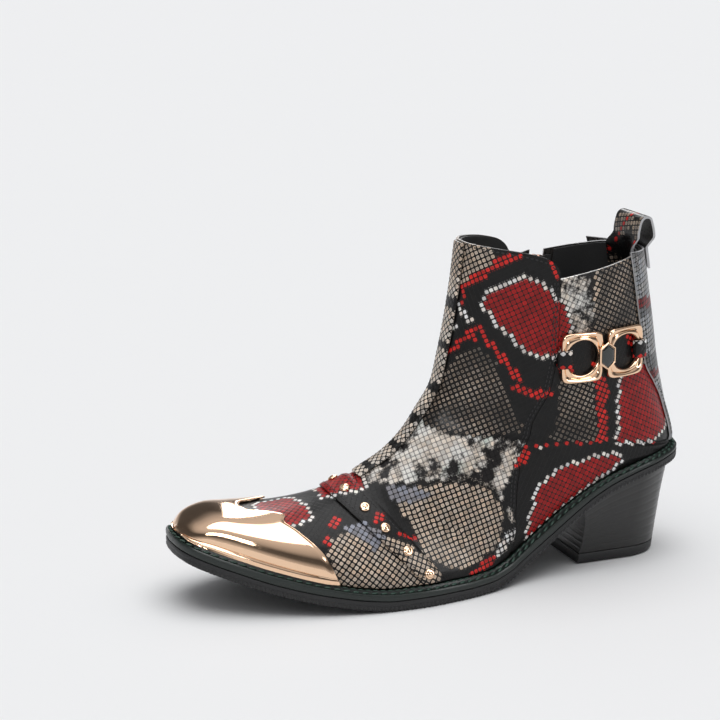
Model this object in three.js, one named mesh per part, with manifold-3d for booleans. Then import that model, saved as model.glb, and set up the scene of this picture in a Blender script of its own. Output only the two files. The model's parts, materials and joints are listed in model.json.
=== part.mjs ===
// Left cowboy ankle boot with a side zip, in millimetres: +Z up, toe towards -Y, outer (lateral) side +X.
// Every shell of the upper lies on one surface, the last, so the leather, lining and stiffeners nest.
import * as THREE from "three";
import { mergeVertices } from "three/addons/utils/BufferGeometryUtils.js";
import Module from "manifold-3d";

const wasm = await Module();
wasm.setup();

/* ------------------------------------------------------------------ driving dimensions */

const FOOT_LENGTH = 296; // feather line, toe tip to the back of the heel
const BALL_WIDTH = 90; // feather line across the ball of the foot
const SHAFT_HEIGHT = 190; // floor to the top of the shaft's front
const SEAT_HEIGHT = 57.5; // floor to the sole's underside at the back of the heel

const GAP = 0.35; // between pieces that touch edge to edge
const LAYER_GAP = 0.6; // between shells that lie on each other
const LEATHER = 1.5; // upper leather
const LINING = 1.1;
const STIFFENER = 1.2; // toe puff and heel counters
const OVERLAY = 1.4; // straps, stay and back strip sewn on top of the upper
const CAP_METAL = 1.3; // toe cap
const CAP_GAP = 0.7; // toe cap over the vamp

const WELT_REACH = 5; // welt and outsole edge beyond the upper
const WELT_LAND = 8; // how far the welt runs in under the upper
const FOREFOOT_OUTSOLE = 5.4;
const HEEL_OUTSOLE = 4.4;
const BOARD = 2.2; // insole board
const SOCK = 1.4; // sock liner
const SHANK_WIDTH = 15;
const SHANK_THICKNESS = 1.6;
const SHANK_START = 18; // along the boot, from under the instep
const SHANK_END = 96;

const HEEL_BREAST_Y = 84.5;
const HEEL_BACK_Y = 142.5;
const HEEL_HALF_WIDTH = 23.5; // at the floor
const TOP_LIFT = 6; // rubber heel tip
const BREAST_HOLLOW = 2; // depth of the curve in the heel's front face
const SCREW_Y = 112; // heel screw's place along the boot
const SCREW_RADIUS = 2.2;
const SCREW_HEAD_RADIUS = 4.4;
const SCREW_HEAD = 1.3;
const SCREW_DEPTH = 22; // below the outsole, into the heel
const SCREW_SUNK = 0.2; // head below the insole board's top
const SCREW_FACETS = 12;
const ACCESS = 3; // clear room above the screw's head

const STAY_HALF_WIDTH = 6; // strip over the centre-front seam
const STUD_RADIUS = 2.9;
const STUD_HEIGHT = 1.7;
const STUD_SHANK_RADIUS = 0.9;
const STUD_PLACES = [0.1, 0.29, 0.46, 0.65, 0.87]; // share of the way from the ridge to the welt

const ZIP_TOP = { y: 81, z: 172 };
const ZIP_BOTTOM = { y: 65.5, z: 52 };
const ZIP_OPENING = 4.5; // zip centre line to each leather edge
const TAPE_REACH = 9.2; // zip centre line to each tape's outer edge
const TAPE = 0.6;
const COIL_WIDTH = 1.9; // each half of the coil
const COIL_THICKNESS = 1.6;
const COIL_SLOT = 1.4; // between the two halves, for the slider's post
const SLIDER_LENGTH = 11;
const SLIDER_WIDTH = 7.6;
const SLIDER_PLATE = 1.1;
const SLIDER_REST = 4.2; // top of the zip to the top of the closed slider
const PIN_RADIUS = 0.8;
const PIN_CLEARANCE = 0.3;
const PIN_LIFT = 2.4; // pin centre above the slider's plate
const PULL_LENGTH = 22;
const PULL_WIDTH = 5.6;
const PULL_THICKNESS = 1.2;

const LINK_WIDTH = 25;
const LINK_HEIGHT = 28.5;
const LINK_HOLE = 10;
const LINK_THICKNESS = 2.6;
const LINK_LIFT = 0.8; // off the leather
const FRONT_LINK_Y = 77;
const LINK_SPACING = LINK_WIDTH + 3.6;
const ORNAMENT_Z = 126.5;
const HEXAGON_WIDTH = 10;
const HEXAGON_HEIGHT = 16;
const HEXAGON_BASE = 1;
const HEXAGON_RIM = 0.9; // rim's height above the base, and the enamel's depth
const HEXAGON_RIM_WIDTH = 0.9;
const STEM_HALF_HEIGHT = 5; // of the bar behind the hexagon, between the links
const TAB_HALF_HEIGHT = 5;

const LOOP_WIDTH = 28;
const LOOP_RISE = 18; // above the back of the collar
const LOOP_TAIL_ROW = 0.6; // its sewn tails end at this section of the last

/* ------------------------------------------------------------------ small mathematics */

const lerp = (a, b, t) => a + (b - a) * t;
const clamp = (x, low, high) => Math.min(Math.max(x, low), high);
const smooth = (t) => t * t * (3 - 2 * t);
const ramp = (x, start, end) => smooth(clamp((x - start) / (end - start), 0, 1));

// Monotone cubic through [x, y] keys, flat beyond its ends.
function monotone(keys) {
  const slopes = keys.slice(1).map((k, i) => (k[1] - keys[i][1]) / (k[0] - keys[i][0]));
  const tangents = keys.map((_, i) => {
    if (i === 0) return slopes[0];
    if (i === keys.length - 1) return slopes[i - 1];
    if (slopes[i - 1] * slopes[i] <= 0) return 0;
    const before = keys[i][0] - keys[i - 1][0];
    const after = keys[i + 1][0] - keys[i][0];
    const w1 = 2 * after + before;
    const w2 = after + 2 * before;
    return (w1 + w2) / (w1 / slopes[i - 1] + w2 / slopes[i]);
  });
  return (value) => {
    const x = clamp(value, keys[0][0], keys[keys.length - 1][0]);
    const i = clamp(keys.findIndex((k) => k[0] > x) - 1, 0, keys.length - 2);
    const last = x === keys[keys.length - 1][0] ? keys.length - 2 : i;
    const h = keys[last + 1][0] - keys[last][0];
    const t = (x - keys[last][0]) / h;
    const s = 1 - t;
    return (
      (1 + 2 * t) * s * s * keys[last][1] +
      t * s * s * h * tangents[last] +
      t * t * (3 - 2 * t) * keys[last + 1][1] -
      t * t * s * h * tangents[last + 1]
    );
  };
}

// Catmull-Rom through rows of numbers, with the row's index as its parameter.
function throughRows(rows) {
  return (u) => {
    const q = clamp(u, 0, rows.length - 1);
    const i = Math.min(Math.floor(q), rows.length - 2);
    const t = q - i;
    const a = rows[Math.max(i - 1, 0)];
    const [b, c] = [rows[i], rows[i + 1]];
    const d = rows[Math.min(i + 2, rows.length - 1)];
    return b.map((_, k) => {
      const square = 2 * a[k] - 5 * b[k] + 4 * c[k] - d[k];
      const cube = 3 * b[k] - a[k] - 3 * c[k] + d[k];
      return 0.5 * (2 * b[k] + (c[k] - a[k]) * t + square * t * t + cube * t * t * t);
    });
  };
}

/* ------------------------------------------------------------------ the sole line */

// The tables below are drawn for this boot size, then stretched to the driving dimensions.
const DRAWN = { length: 296, width: 90, shaft: 190, seat: 57.5 };
const LENGTHWISE = FOOT_LENGTH / DRAWN.length;
const SIDEWAYS = BALL_WIDTH / DRAWN.width;
const UPWARDS = SHAFT_HEIGHT / DRAWN.shaft;
const HEELWARDS = SEAT_HEIGHT / DRAWN.seat;
const stretched = (keys, alongFactor, valueFactor) =>
  keys.map(([y, value]) => [y * alongFactor, value * valueFactor]);

// Underside of the sole, [along the boot, height].
const DRAWN_TREAD = [
  [-152, 31], [-139, 25.3], [-119.5, 18.2], [-104, 12.8], [-87.5, 8.2], [-71, 4.6], [-54, 1.6], [-38, 0],
  [4, 0], [20, 0.7], [32.6, 3.9], [41, 8.5], [51, 14.8], [61, 21.5], [70, 28.2], [80, 35.3],
  [90, 41.3], [100, 46], [112, 50], [125, 53.5], [140, 56], [156, 57.5],
];
const tread = monotone(stretched(DRAWN_TREAD, LENGTHWISE, HEELWARDS));
const drawnTread = monotone(DRAWN_TREAD);
// Outsole and welt together, measured upright.
const soleThickness = monotone(
  stretched(
    [
      [-152, 12.6], [-104, 12.6], [-54, 11], [20, 11], [40, 12], [60, 12.3], [80, 10.5], [100, 9],
      [125, 8.5], [156, 7.5],
    ],
    LENGTHWISE,
    1,
  ),
);
const outsoleThickness = (y) =>
  lerp(FOREFOOT_OUTSOLE, HEEL_OUTSOLE, ramp(y, 40 * LENGTHWISE, 80 * LENGTHWISE));
const feather = (y) => tread(y) + soleThickness(y);

// Half widths of the feather line, where the upper meets the welt.
const TOE_TIP = -145 * LENGTHWISE;
const HEEL_END = 151 * LENGTHWISE;
const lateralHalf = monotone(
  stretched(
    [
      [-145, 0], [-144, 9], [-141, 15], [-133, 21], [-119, 28], [-95, 36.5], [-68, 44], [-45, 47.5],
      [-25, 48.5],
      [0, 46], [15, 43], [30, 39], [45, 35.5], [60, 33.5], [95, 32], [122, 30], [138, 23.5], [147, 13.5],
      [151, 0],
    ],
    LENGTHWISE,
    SIDEWAYS,
  ),
);
const medialHalf = monotone(
  stretched(
    [
      [-145, 0], [-144, 9], [-141, 15], [-133, 20], [-119, 26.5], [-95, 34], [-68, 40], [-45, 41.5],
      [-25, 39],
      [10, 30], [35, 26], [60, 26], [95, 29], [122, 28], [138, 22.5], [147, 13], [151, 0],
    ],
    LENGTHWISE,
    SIDEWAYS,
  ),
);
const halfWidth = (side, y) => (side > 0 ? lateralHalf : medialHalf)(y);
// The toe swings 5 mm towards the inner side.
const centreLine = (y) => -5 * SIDEWAYS * clamp((-y / LENGTHWISE - 40) / 105, 0, 1) ** 2;

/* ------------------------------------------------------------------ the last */

// Sections that fan round the ankle, from the collar (0) to the toe tip (16). Each row: front or top
// centre y, z; back seam or feather y, z; Bezier handles out to the lateral and the medial side;
// and the inward lean of the section's lower end. A z of null is on the feather line.
const SECTIONS = [
  [18.5, 190, 128, 180, 47, 45, 45, 43, 0],
  [16, 168, 132, 158, 47, 45, 45, 43, 0],
  [12.5, 146, 136, 136, 46, 45, 45, 43, 0],
  [9, 128.5, 139.5, 114, 45, 46, 44, 43, 0],
  [4, 109, 144.5, 92, 43, 50, 41, 47, 0],
  [-5, 95, 151, null, 37, 55, 36, 52, 2],
  [-13.5, 82.8, 134, null, 40, 42, 38, 40, 30],
  [-25, 72.3, 97, null, 37, 41, 35, 37, 28],
  [-38, 65, 57, null, 34, 43, 32, 33, 24],
  [-50, 59, 17, null, 32, 46, 30, 35, 20],
  [-63, 55, -24, null, 31, 50, 29, 41, 17],
  [-79, 52, -60, null, 30, 49, 28, 43, 15],
  [-96, 50.3, -92, null, 27, 41, 27, 38, 14],
  [-112, 50, -116, null, 24, 33, 24, 31, 14],
  [-126, 50, -131, null, 20, 25, 20, 25, 13],
  [-137, 46.5, -141, null, 13, 18, 13, 18, 8],
  [-144.5, 42, -145, null, 0, 0, 0, 0, 0],
];
const HEEL_ROW = 5; // the last section that ends on the back seam
const TOE_ROW = SECTIONS.length - 1;
const raised = (y, z) => z * UPWARDS + (HEELWARDS - 1) * drawnTread(y);
const sectionRows = throughRows(
  SECTIONS.map(([topY, topZ, endY, endZ, ...handles]) => {
    const end = endY * LENGTHWISE;
    return [
      topY * LENGTHWISE,
      raised(topY, topZ),
      end,
      endZ === null ? feather(end) : raised(endY, endZ),
      ...handles.slice(0, 4).map((h) => h * SIDEWAYS),
      handles[4],
    ];
  }),
);

// Just past the back seam the end handle follows the feather line, which opens out faster than u.
const seatRows = [sectionRows(HEEL_ROW), sectionRows(HEEL_ROW + 1)];
function seatHandle(side, endY) {
  const [lateral, medial] = [5, 7];
  const column = side > 0 ? lateral : medial;
  const opened = halfWidth(side, endY) / halfWidth(side, seatRows[1][2]);
  return lerp(seatRows[0][column], seatRows[1][column], opened);
}

// A point of the last: u runs down and forward through the sections, v goes round each of them,
// from the medial side (-1) over the front or top centre (0) to the lateral side (1).
function last(u, v) {
  const [topY, topZ, endY, rowZ, ...handles] = sectionRows(u);
  const [lateralTop, lateralEnd, medialTop, medialEnd, lean] = handles;
  const side = v < 0 ? -1 : 1;
  const t = Math.abs(v);
  const s = 1 - t;
  const onFeather = u > HEEL_ROW;
  const endZ = onFeather ? feather(endY) : rowZ;
  const endX = onFeather ? halfWidth(side, endY) : 0;
  const reach = Math.hypot(endY - topY, endZ - topZ) || 1;
  const top = side > 0 ? lateralTop : medialTop;
  const drawnEnd = side > 0 ? lateralEnd : medialEnd;
  const end = onFeather && u < HEEL_ROW + 1 ? seatHandle(side, endY) : drawnEnd;
  const across = 3 * s * s * t * top + 3 * s * t * t * end + t ** 3 * endX;
  const down = (3 * s * t * t * (reach - Math.max(lean, 0)) + t ** 3 * reach) / reach;
  const y = lerp(topY, endY, down);
  return new THREE.Vector3(side * across + centreLine(y), y, lerp(topZ, endZ, down));
}

const STEP = 1e-3;
const alongU = (u, v) => last(Math.min(u + STEP, TOE_ROW), v).sub(last(Math.max(u - STEP, 0), v));
const alongV = (u, v) => last(u, Math.min(v + STEP, 1)).sub(last(u, Math.max(v - STEP, -1)));
const HEEL_RADIUS = 27 * SIDEWAYS; // of the rounded heel seat, seen from above
// Round the foot of the heel the sections run side by side, so the wall there counts as upright.
function heelWall(u, v) {
  const here = last(u, v);
  return new THREE.Vector3(here.x, Math.max(here.y - (HEEL_END - HEEL_RADIUS), 0), 0).normalize();
}
function outward(u, v) {
  if (u > TOE_ROW - 2 * STEP) return new THREE.Vector3(0, -1, 0);
  const across = alongU(u, v).cross(alongV(u, v)).normalize();
  const share = ramp(u, 4.6, 4.95) * (1 - ramp(u, 5.55, 5.9)) * ramp(Math.abs(v), 0.42, 0.6);
  return share > 0 ? across.lerp(heelWall(u, v), share).normalize() : across;
}
const FOOT_CLEARANCE = 0.1; // of every shell's lower edge above the welt
function skin(u, v, depth) {
  const point = last(u, v).addScaledVector(outward(u, v), depth);
  point.z = Math.max(point.z, feather(point.y) + FOOT_CLEARANCE);
  return point;
}

// v moved round the section by a length in millimetres.
function shiftV(u, v, length) {
  const span = Math.min(v + STEP, 1) - Math.max(v - STEP, -1);
  return v + (length * span) / alongV(u, v).length();
}
function shiftU(u, v, length) {
  const span = Math.min(u + STEP, TOE_ROW) - Math.max(u - STEP, 0);
  return u + (length * span) / alongU(u, v).length();
}

// The place on one side of the last that a side view shows at y, z, as [u, v].
function sidePlace(side, y, z) {
  let u = clamp((SHAFT_HEIGHT - z) / (20 * UPWARDS), 0.3, 7);
  let v = side * 0.55;
  for (let turn = 0; turn < 40; turn += 1) {
    const here = last(u, v);
    const gapY = y - here.y;
    const gapZ = z - here.z;
    if (Math.hypot(gapY, gapZ) < 1e-4) break;
    const du = last(u + STEP, v).sub(here).divideScalar(STEP);
    const dv = last(u, v + STEP).sub(here).divideScalar(STEP);
    const area = du.y * dv.z - du.z * dv.y;
    u = clamp(u + clamp((gapY * dv.z - gapZ * dv.y) / area, -0.6, 0.6), 0, 8.6);
    v += clamp((du.y * gapZ - du.z * gapY) / area, -0.1, 0.1);
    v = side * clamp(side * v, 0.02, 0.995);
  }
  return [u, v];
}
const sidePoint = (side, y, z, depth) => skin(...sidePlace(side, y, z), depth);

/* ------------------------------------------------------------------ seams and edges on the last */

// Seam between front panel and quarter, the same on both sides: |v| for each u.
const SEAM_END = 8.65;
const seam = monotone([
  [0, 0.437], [1.6, 0.44], [2.6, 0.44], [3.6, 0.425], [4.7, 0.388], [5.7, 0.44], [7.2, 0.618], [7.9, 0.765],
  [8.5, 0.962], [SEAM_END, 1],
]);
const frontTop = monotone([[0, 0], [0.13, 0.01], [0.25, 0.05], [0.38, 0.2], [0.42, 0.36], [0.44, 0.55]]);
const quarterTop = monotone([[0.43, 0.7], [0.58, 0.47], [0.733, 0.22], [0.85, 0.05], [1, 0]]);
const strapRear = monotone([[0, 8.62], [0.235, 8.92], [0.475, 9.26], [0.7, 9.47], [1, 9.63]]);
const STRAP_FRONT = 9.92;
const VAMP_END = 14.9; // under the toe cap
const LINING_TOE = 15.1;
const FOOT_EDGE = 0.985; // |v| where the uppers stop, just above the welt
const STRAP_LAP = 2.5; // the front panels end this far under the strap
// Rear edge of the toe cap: a pointed tongue of leather runs forward at its centre.
const capRear = monotone([
  [0, 12.9], [0.1, 12.75], [0.16, 12.05], [0.22, 11.72], [0.3, 11.85], [0.43, 11.6], [0.65, 11.3], [1, 11.25],
]);

// The zip lies on a straight line in the side view, on the medial side.
const zipTopY = ZIP_TOP.y * LENGTHWISE;
const zipBottomY = ZIP_BOTTOM.y * LENGTHWISE;
const zipSlope = (zipTopY - zipBottomY) / (ZIP_TOP.z - ZIP_BOTTOM.z);
const zipLineY = (z) => zipTopY + (z - ZIP_TOP.z) * zipSlope;
function zipV(u) {
  let low = 0.3;
  let high = 1;
  if (last(u, -high).y < zipLineY(last(u, -high).z)) return 1;
  for (let turn = 0; turn < 40; turn += 1) {
    const middle = (low + high) / 2;
    const here = last(u, -middle);
    if (here.y < zipLineY(here.z)) low = middle;
    else high = middle;
  }
  return low;
}
// |v| a length from the zip line; below the zip's bottom stop the opening closes to a butt seam.
function besideZip(u, length) {
  const v = zipV(u);
  if (v >= 1) return 1;
  const closing = ramp(last(u, -v).z, ZIP_BOTTOM.z - 9, ZIP_BOTTOM.z - 4);
  const aside = Math.sign(length) * lerp(GAP / 2, Math.abs(length), closing);
  return clamp(-shiftV(u, -v, -aside), 0.3, 1);
}

/* ------------------------------------------------------------------ meshes */

const boot = new THREE.Group();

function material(color, roughness, metalness) {
  return new THREE.MeshStandardMaterial({ color, roughness, metalness });
}
const FINISH = {
  snakeskin: () => material(0x6b3a36, 0.35, 0),
  vampSkin: () => material(0x8d7f74, 0.35, 0),
  blackLeather: () => material(0x171517, 0.4, 0),
  lining: () => material(0x101012, 0.85, 0),
  stiffener: () => material(0xb9a98c, 0.9, 0),
  roseGold: () => material(0xd9a583, 0.12, 1),
  enamel: () => material(0x151a18, 0.15, 0),
  welt: () => material(0x15201c, 0.6, 0),
  outsole: () => material(0x161616, 0.6, 0),
  heel: () => material(0x1b1a19, 0.35, 0),
  board: () => material(0x9b8463, 0.9, 0),
  cork: () => material(0x8a6a44, 0.95, 0),
  steel: () => material(0x8f9296, 0.35, 1),
  tape: () => material(0x0e0e10, 0.9, 0),
  silver: () => material(0xb4b2b0, 0.4, 0.2),
};

// One closed surface from points and faces of any number of corners, turned to face out.
function closed(points, faces) {
  const geometry = new THREE.BufferGeometry();
  const coordinates = points.flatMap((p) => [p.x, p.y, p.z]);
  geometry.setAttribute("position", new THREE.Float32BufferAttribute(coordinates, 3));
  geometry.setIndex(faces.flatMap((f) => f.slice(2).flatMap((_, i) => [f[0], f[i + 1], f[i + 2]])));
  const merged = mergeVertices(geometry, 1e-3);
  const at = merged.getAttribute("position");
  const whole = [];
  let volume = 0;
  const corner = (i) => new THREE.Vector3().fromBufferAttribute(at, i);
  for (let i = 0; i < merged.index.count; i += 3) {
    const [a, b, c] = [merged.index.getX(i), merged.index.getX(i + 1), merged.index.getX(i + 2)];
    if (a !== b && b !== c && c !== a) {
      whole.push(a, b, c);
      volume += corner(a).dot(corner(b).cross(corner(c)));
    }
  }
  if (volume < 0) whole.reverse();
  merged.setIndex(whole);
  return merged;
}

const indexOf = (columns, i, j) => i * columns + j;

// A shell between two grids of points, outer[i][j] and inner[i][j].
function shellBetween(outer, inner) {
  const rows = outer.length;
  const columns = outer[0].length;
  const count = rows * columns;
  const faces = [];
  for (let i = 0; i < rows - 1; i += 1) {
    for (let j = 0; j < columns - 1; j += 1) {
      const quad = [
        indexOf(columns, i, j),
        indexOf(columns, i + 1, j),
        indexOf(columns, i + 1, j + 1),
        indexOf(columns, i, j + 1),
      ];
      faces.push(quad, quad.map((k) => k + count).reverse());
    }
  }
  const rim = [];
  for (let j = 0; j < columns - 1; j += 1) rim.push(indexOf(columns, 0, j));
  for (let i = 0; i < rows - 1; i += 1) rim.push(indexOf(columns, i, columns - 1));
  for (let j = columns - 1; j > 0; j -= 1) rim.push(indexOf(columns, rows - 1, j));
  for (let i = rows - 1; i > 0; i -= 1) rim.push(indexOf(columns, i, 0));
  rim.forEach((a, k) => {
    const b = rim[(k + 1) % rim.length];
    faces.push([a, b, b + count, a + count]);
  });
  return closed([...outer.flat(), ...inner.flat()], faces);
}

// A shell on the last. places[i][j] is [u, v]; outer and inner are depths or functions of (u, column).
function panel(places, outer, inner) {
  const depth = (value, u, j) => (typeof value === "function" ? value(u, j) : value);
  const layer = (value) =>
    places.map((row) => row.map(([u, v], j) => skin(u, v, depth(value, u, j))));
  return shellBetween(layer(outer), layer(inner));
}
const grid = (rows, columns, place) =>
  rows.map((row, i) => columns.map((column, j) => place(row, column, i, j)));
const shares = (count) => Array.from({ length: count + 1 }, (_, i) => i / count);

// A solid stacked from levels; each level pairs lateral and medial points from front to back.
function stacked(levels) {
  const stations = levels[0].length;
  const loop = 2 * stations;
  const points = levels.flatMap((level) => [
    ...level.map((pair) => pair.lateral),
    ...level.map((pair) => pair.medial).reverse(),
  ]);
  const faces = [];
  levels.slice(1).forEach((_, k) => {
    for (let i = 0; i < loop; i += 1) {
      const next = (i + 1) % loop;
      faces.push([k * loop + i, k * loop + next, (k + 1) * loop + next, (k + 1) * loop + i]);
    }
  });
  const top = (levels.length - 1) * loop;
  for (let i = 0; i < stations - 1; i += 1) {
    const strip = [i, i + 1, loop - 2 - i, loop - 1 - i];
    faces.push([...strip].reverse(), strip.map((k) => k + top));
  }
  return closed(points, faces);
}

function toSolid(geometry) {
  const plain = new THREE.BufferGeometry();
  plain.setAttribute("position", geometry.getAttribute("position").clone());
  if (geometry.index) plain.setIndex(geometry.index.clone());
  const merged = mergeVertices(plain, 1e-3);
  return new wasm.Manifold(
    new wasm.Mesh({
      numProp: 3,
      vertProperties: new Float32Array(merged.getAttribute("position").array),
      triVerts: new Uint32Array(merged.index.array),
    }),
  );
}
function fromSolid(solid) {
  const mesh = solid.getMesh();
  const geometry = new THREE.BufferGeometry();
  geometry.setAttribute("position", new THREE.BufferAttribute(mesh.vertProperties, 3));
  geometry.setIndex(new THREE.BufferAttribute(mesh.triVerts, 1));
  return geometry;
}
const cut = (geometry, ...tools) =>
  fromSolid(tools.reduce((solid, tool) => solid.subtract(toSolid(tool)), toSolid(geometry)));
const join = (...parts) =>
  fromSolid(parts.slice(1).reduce((solid, part) => solid.add(toSolid(part)), toSolid(parts[0])));

function add(name, geometry, finish) {
  geometry.computeVertexNormals();
  const mesh = new THREE.Mesh(geometry, finish());
  mesh.name = name;
  boot.add(mesh);
  return mesh;
}

// A plain extrusion of a closed outline and its holes, from depth low to depth high along +Z.
function extruded(outline, low, high, holes = []) {
  const shape = new THREE.Shape(outline);
  holes.forEach((hole) => shape.holes.push(new THREE.Path(hole)));
  const geometry = new THREE.ExtrudeGeometry(shape, { depth: high - low, bevelEnabled: false });
  geometry.translate(0, 0, low);
  geometry.deleteAttribute("normal");
  geometry.deleteAttribute("uv");
  return mergeVertices(geometry, 1e-3);
}
// Each vertex of a geometry moved by a function, then turned to face out.
function bent(geometry, move) {
  const at = geometry.getAttribute("position");
  const points = [];
  for (let i = 0; i < at.count; i += 1) points.push(move(at.getX(i), at.getY(i), at.getZ(i)));
  const faces = [];
  for (let i = 0; i < geometry.index.count; i += 3) {
    faces.push([geometry.index.getX(i), geometry.index.getX(i + 1), geometry.index.getX(i + 2)]);
  }
  return closed(points, faces);
}
const vec2 = (x, y) => new THREE.Vector2(x, y);

/* ------------------------------------------------------------------ sole */

const STATIONS = [
  0, 0.004, 0.014, 0.035, 0.07, 0.12, 0.18, 0.24, 0.3, 0.36, 0.42, 0.48, 0.52, 0.55, 0.575, 0.6, 0.625, 0.65,
  0.675, 0.7, 0.725, 0.75, 0.775, 0.8, 0.83, 0.87, 0.91, 0.945, 0.97, 0.988, 1,
];
const stationY = (s) => lerp(TOE_TIP, HEEL_END, s);

// A point of the feather outline in plan, moved out by reach along the outline's own normal.
function outlinePoint(side, s, reach) {
  const y = stationY(s);
  const here = vec2(side * halfWidth(side, y), y);
  if (s === 0 || s === 1) return vec2(centreLine(y), y + (s === 0 ? -reach : reach));
  const edge = 0.002;
  const before = stationY(Math.max(s - edge, 0));
  const after = stationY(Math.min(s + edge, 1));
  const run = vec2(side * (halfWidth(side, after) - halfWidth(side, before)), after - before).normalize();
  return here.add(vec2(side * run.y, -side * run.x).multiplyScalar(reach)).add(vec2(centreLine(y), 0));
}
// The same outline drawn in by an inset, for plates that lie inside the upper.
function insetPoint(side, s, inset) {
  const y = stationY(s) + inset * (1 - ramp(s, 0, 0.12) - ramp(s, 0.88, 1));
  const own = halfWidth(side, stationY(s));
  const width = own - inset * smooth(clamp(own / (2 * WELT_LAND), 0, 1));
  return vec2(side * Math.max(width, 0) + centreLine(y), y);
}
const level = (stations, place, height) =>
  stations.map((s) => {
    const [lateral, medial] = [1, -1].map((side) => {
      const p = place(side, s);
      return new THREE.Vector3(p.x, p.y, height(p.y));
    });
    return { lateral, medial };
  });

const weltUnderside = (y) => tread(y) + outsoleThickness(y) + GAP;
const weltTop = (y) => feather(y) - GAP;
const outsoleTop = (y) => tread(y) + outsoleThickness(y);
const heelTop = (y) => tread(y) - GAP;

const boardUnderside = (y) => feather(y);
const boardTop = (y) => feather(y) + BOARD;

// The heel screw, or with extra room all round, the hole it sits in, open above the head.
function screwShape(extra) {
  const wide = SCREW_HEAD_RADIUS + extra;
  const narrow = SCREW_RADIUS + extra;
  const top = boardTop(SCREW_Y - SCREW_HEAD_RADIUS) - SCREW_SUNK;
  const bottom = tread(SCREW_Y) - SCREW_DEPTH;
  const place = (upper, lower, low, high) =>
    new THREE.CylinderGeometry(upper, lower, 1, SCREW_FACETS)
      .rotateX(Math.PI / 2)
      .scale(1, 1, high - low)
      .translate(0, SCREW_Y, (low + high) / 2);
  const shank = place(narrow, narrow, bottom - extra, top - SCREW_HEAD / 2);
  const head = place(wide, narrow, top - SCREW_HEAD, top);
  return extra ? join(shank, head, place(wide, wide, top - 0.05, top + ACCESS)) : join(shank, head);
}

function outsole() {
  const place = (side, s) => outlinePoint(side, s, WELT_REACH);
  const plate = stacked([level(STATIONS, place, tread), level(STATIONS, place, outsoleTop)]);
  return cut(plate, screwShape(GAP));
}

// The welt is a ring: the same stations outside and inside, stitched top and bottom.
function welt() {
  const ring = [1, -1].flatMap((side) => {
    const run = side > 0 ? STATIONS : [...STATIONS].reverse();
    return run.slice(0, -1).map((s) => {
      const out = outlinePoint(side, s, WELT_REACH);
      const inner = insetPoint(side, s, WELT_LAND);
      return [out, inner].flatMap((p) => [
        new THREE.Vector3(p.x, p.y, weltUnderside(p.y)),
        new THREE.Vector3(p.x, p.y, weltTop(p.y)),
      ]);
    });
  });
  const faces = [];
  ring.forEach((_, k) => {
    const here = 4 * k;
    const next = 4 * ((k + 1) % ring.length);
    [[0, 1], [1, 3], [3, 2], [2, 0]].forEach(([a, b]) => {
      faces.push([here + a, here + b, next + b, next + a]);
    });
  });
  return closed(ring.flat(), faces);
}

function innerPlate(inset, underside, top, from = 0, to = 1) {
  const stations = STATIONS.filter((s) => s >= from && s <= to);
  const place = (side, s) => insetPoint(side, s, inset);
  return stacked([level(stations, place, underside), level(stations, place, top)]);
}

function shank() {
  const count = 8;
  const stations = shares(count).map((s) => lerp(SHANK_START, SHANK_END, s));
  const strip = (height) =>
    stations.map((y) => ({
      lateral: new THREE.Vector3(SHANK_WIDTH / 2, y, height(y)),
      medial: new THREE.Vector3(-SHANK_WIDTH / 2, y, height(y)),
    }));
  return stacked([strip(weltUnderside), strip((y) => weltUnderside(y) + SHANK_THICKNESS)]);
}

/* ------------------------------------------------------------------ heel */

const HEEL_STATIONS = [0, 0.2, 0.4, 0.56, 0.7, 0.81, 0.9, 0.96, 0.99, 1];

const HEEL_REACH = 1.5; // of the heel's top beyond the feather line, and of its breast
const HEEL_WAIST = 1.2; // how far its back curves in
const LIFT_SHARE = TOP_LIFT / (tread(HEEL_BACK_Y) - GAP);

// Half width and place of the heel's side, from the breast (0) to the back (1), at a height share.
function heelPoint(side, s, share) {
  const backTop = HEEL_END + WELT_REACH - HEEL_REACH;
  const breastTop = HEEL_BREAST_Y - HEEL_REACH;
  const waist = Math.sin(Math.PI * share) * HEEL_WAIST;
  const y = lerp(
    lerp(HEEL_BREAST_Y, HEEL_BACK_Y, s),
    lerp(breastTop, backTop, s) - waist * s,
    share,
  );
  const round = Math.sqrt(Math.max(0, 1 - Math.max(0, (s - 0.52) / 0.48) ** 2.4));
  const station = Math.min((lerp(breastTop, backTop, s) - TOE_TIP) / (HEEL_END - TOE_TIP), 1);
  const topHalf = Math.max(0, outlinePoint(side, station, HEEL_REACH).x * side);
  const bottomHalf = HEEL_HALF_WIDTH * SIDEWAYS * round;
  const half = s === 1 ? 0 : lerp(bottomHalf, topHalf, share ** 1.15);
  const hollow = BREAST_HOLLOW * Math.sin(Math.PI * share) * Math.max(0, 1 - s * 5);
  return vec2(side * half, y + hollow);
}
function heelLevel(share, height) {
  return level(HEEL_STATIONS, (side, s) => heelPoint(side, s, share), height);
}
function heelBlock() {
  const bottom = TOP_LIFT + GAP;
  const heights = [0, 0.2, 0.4, 0.6, 0.8, 1];
  const levels = heights.map((share) =>
    heelLevel(LIFT_SHARE + (1 - LIFT_SHARE) * share, (y) => lerp(bottom, heelTop(y), share)),
  );
  return cut(stacked(levels), screwShape(GAP));
}
function topLift() {
  return stacked([heelLevel(0, () => 0), heelLevel(LIFT_SHARE, () => TOP_LIFT)]);
}

/* ------------------------------------------------------------------ uppers */

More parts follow.
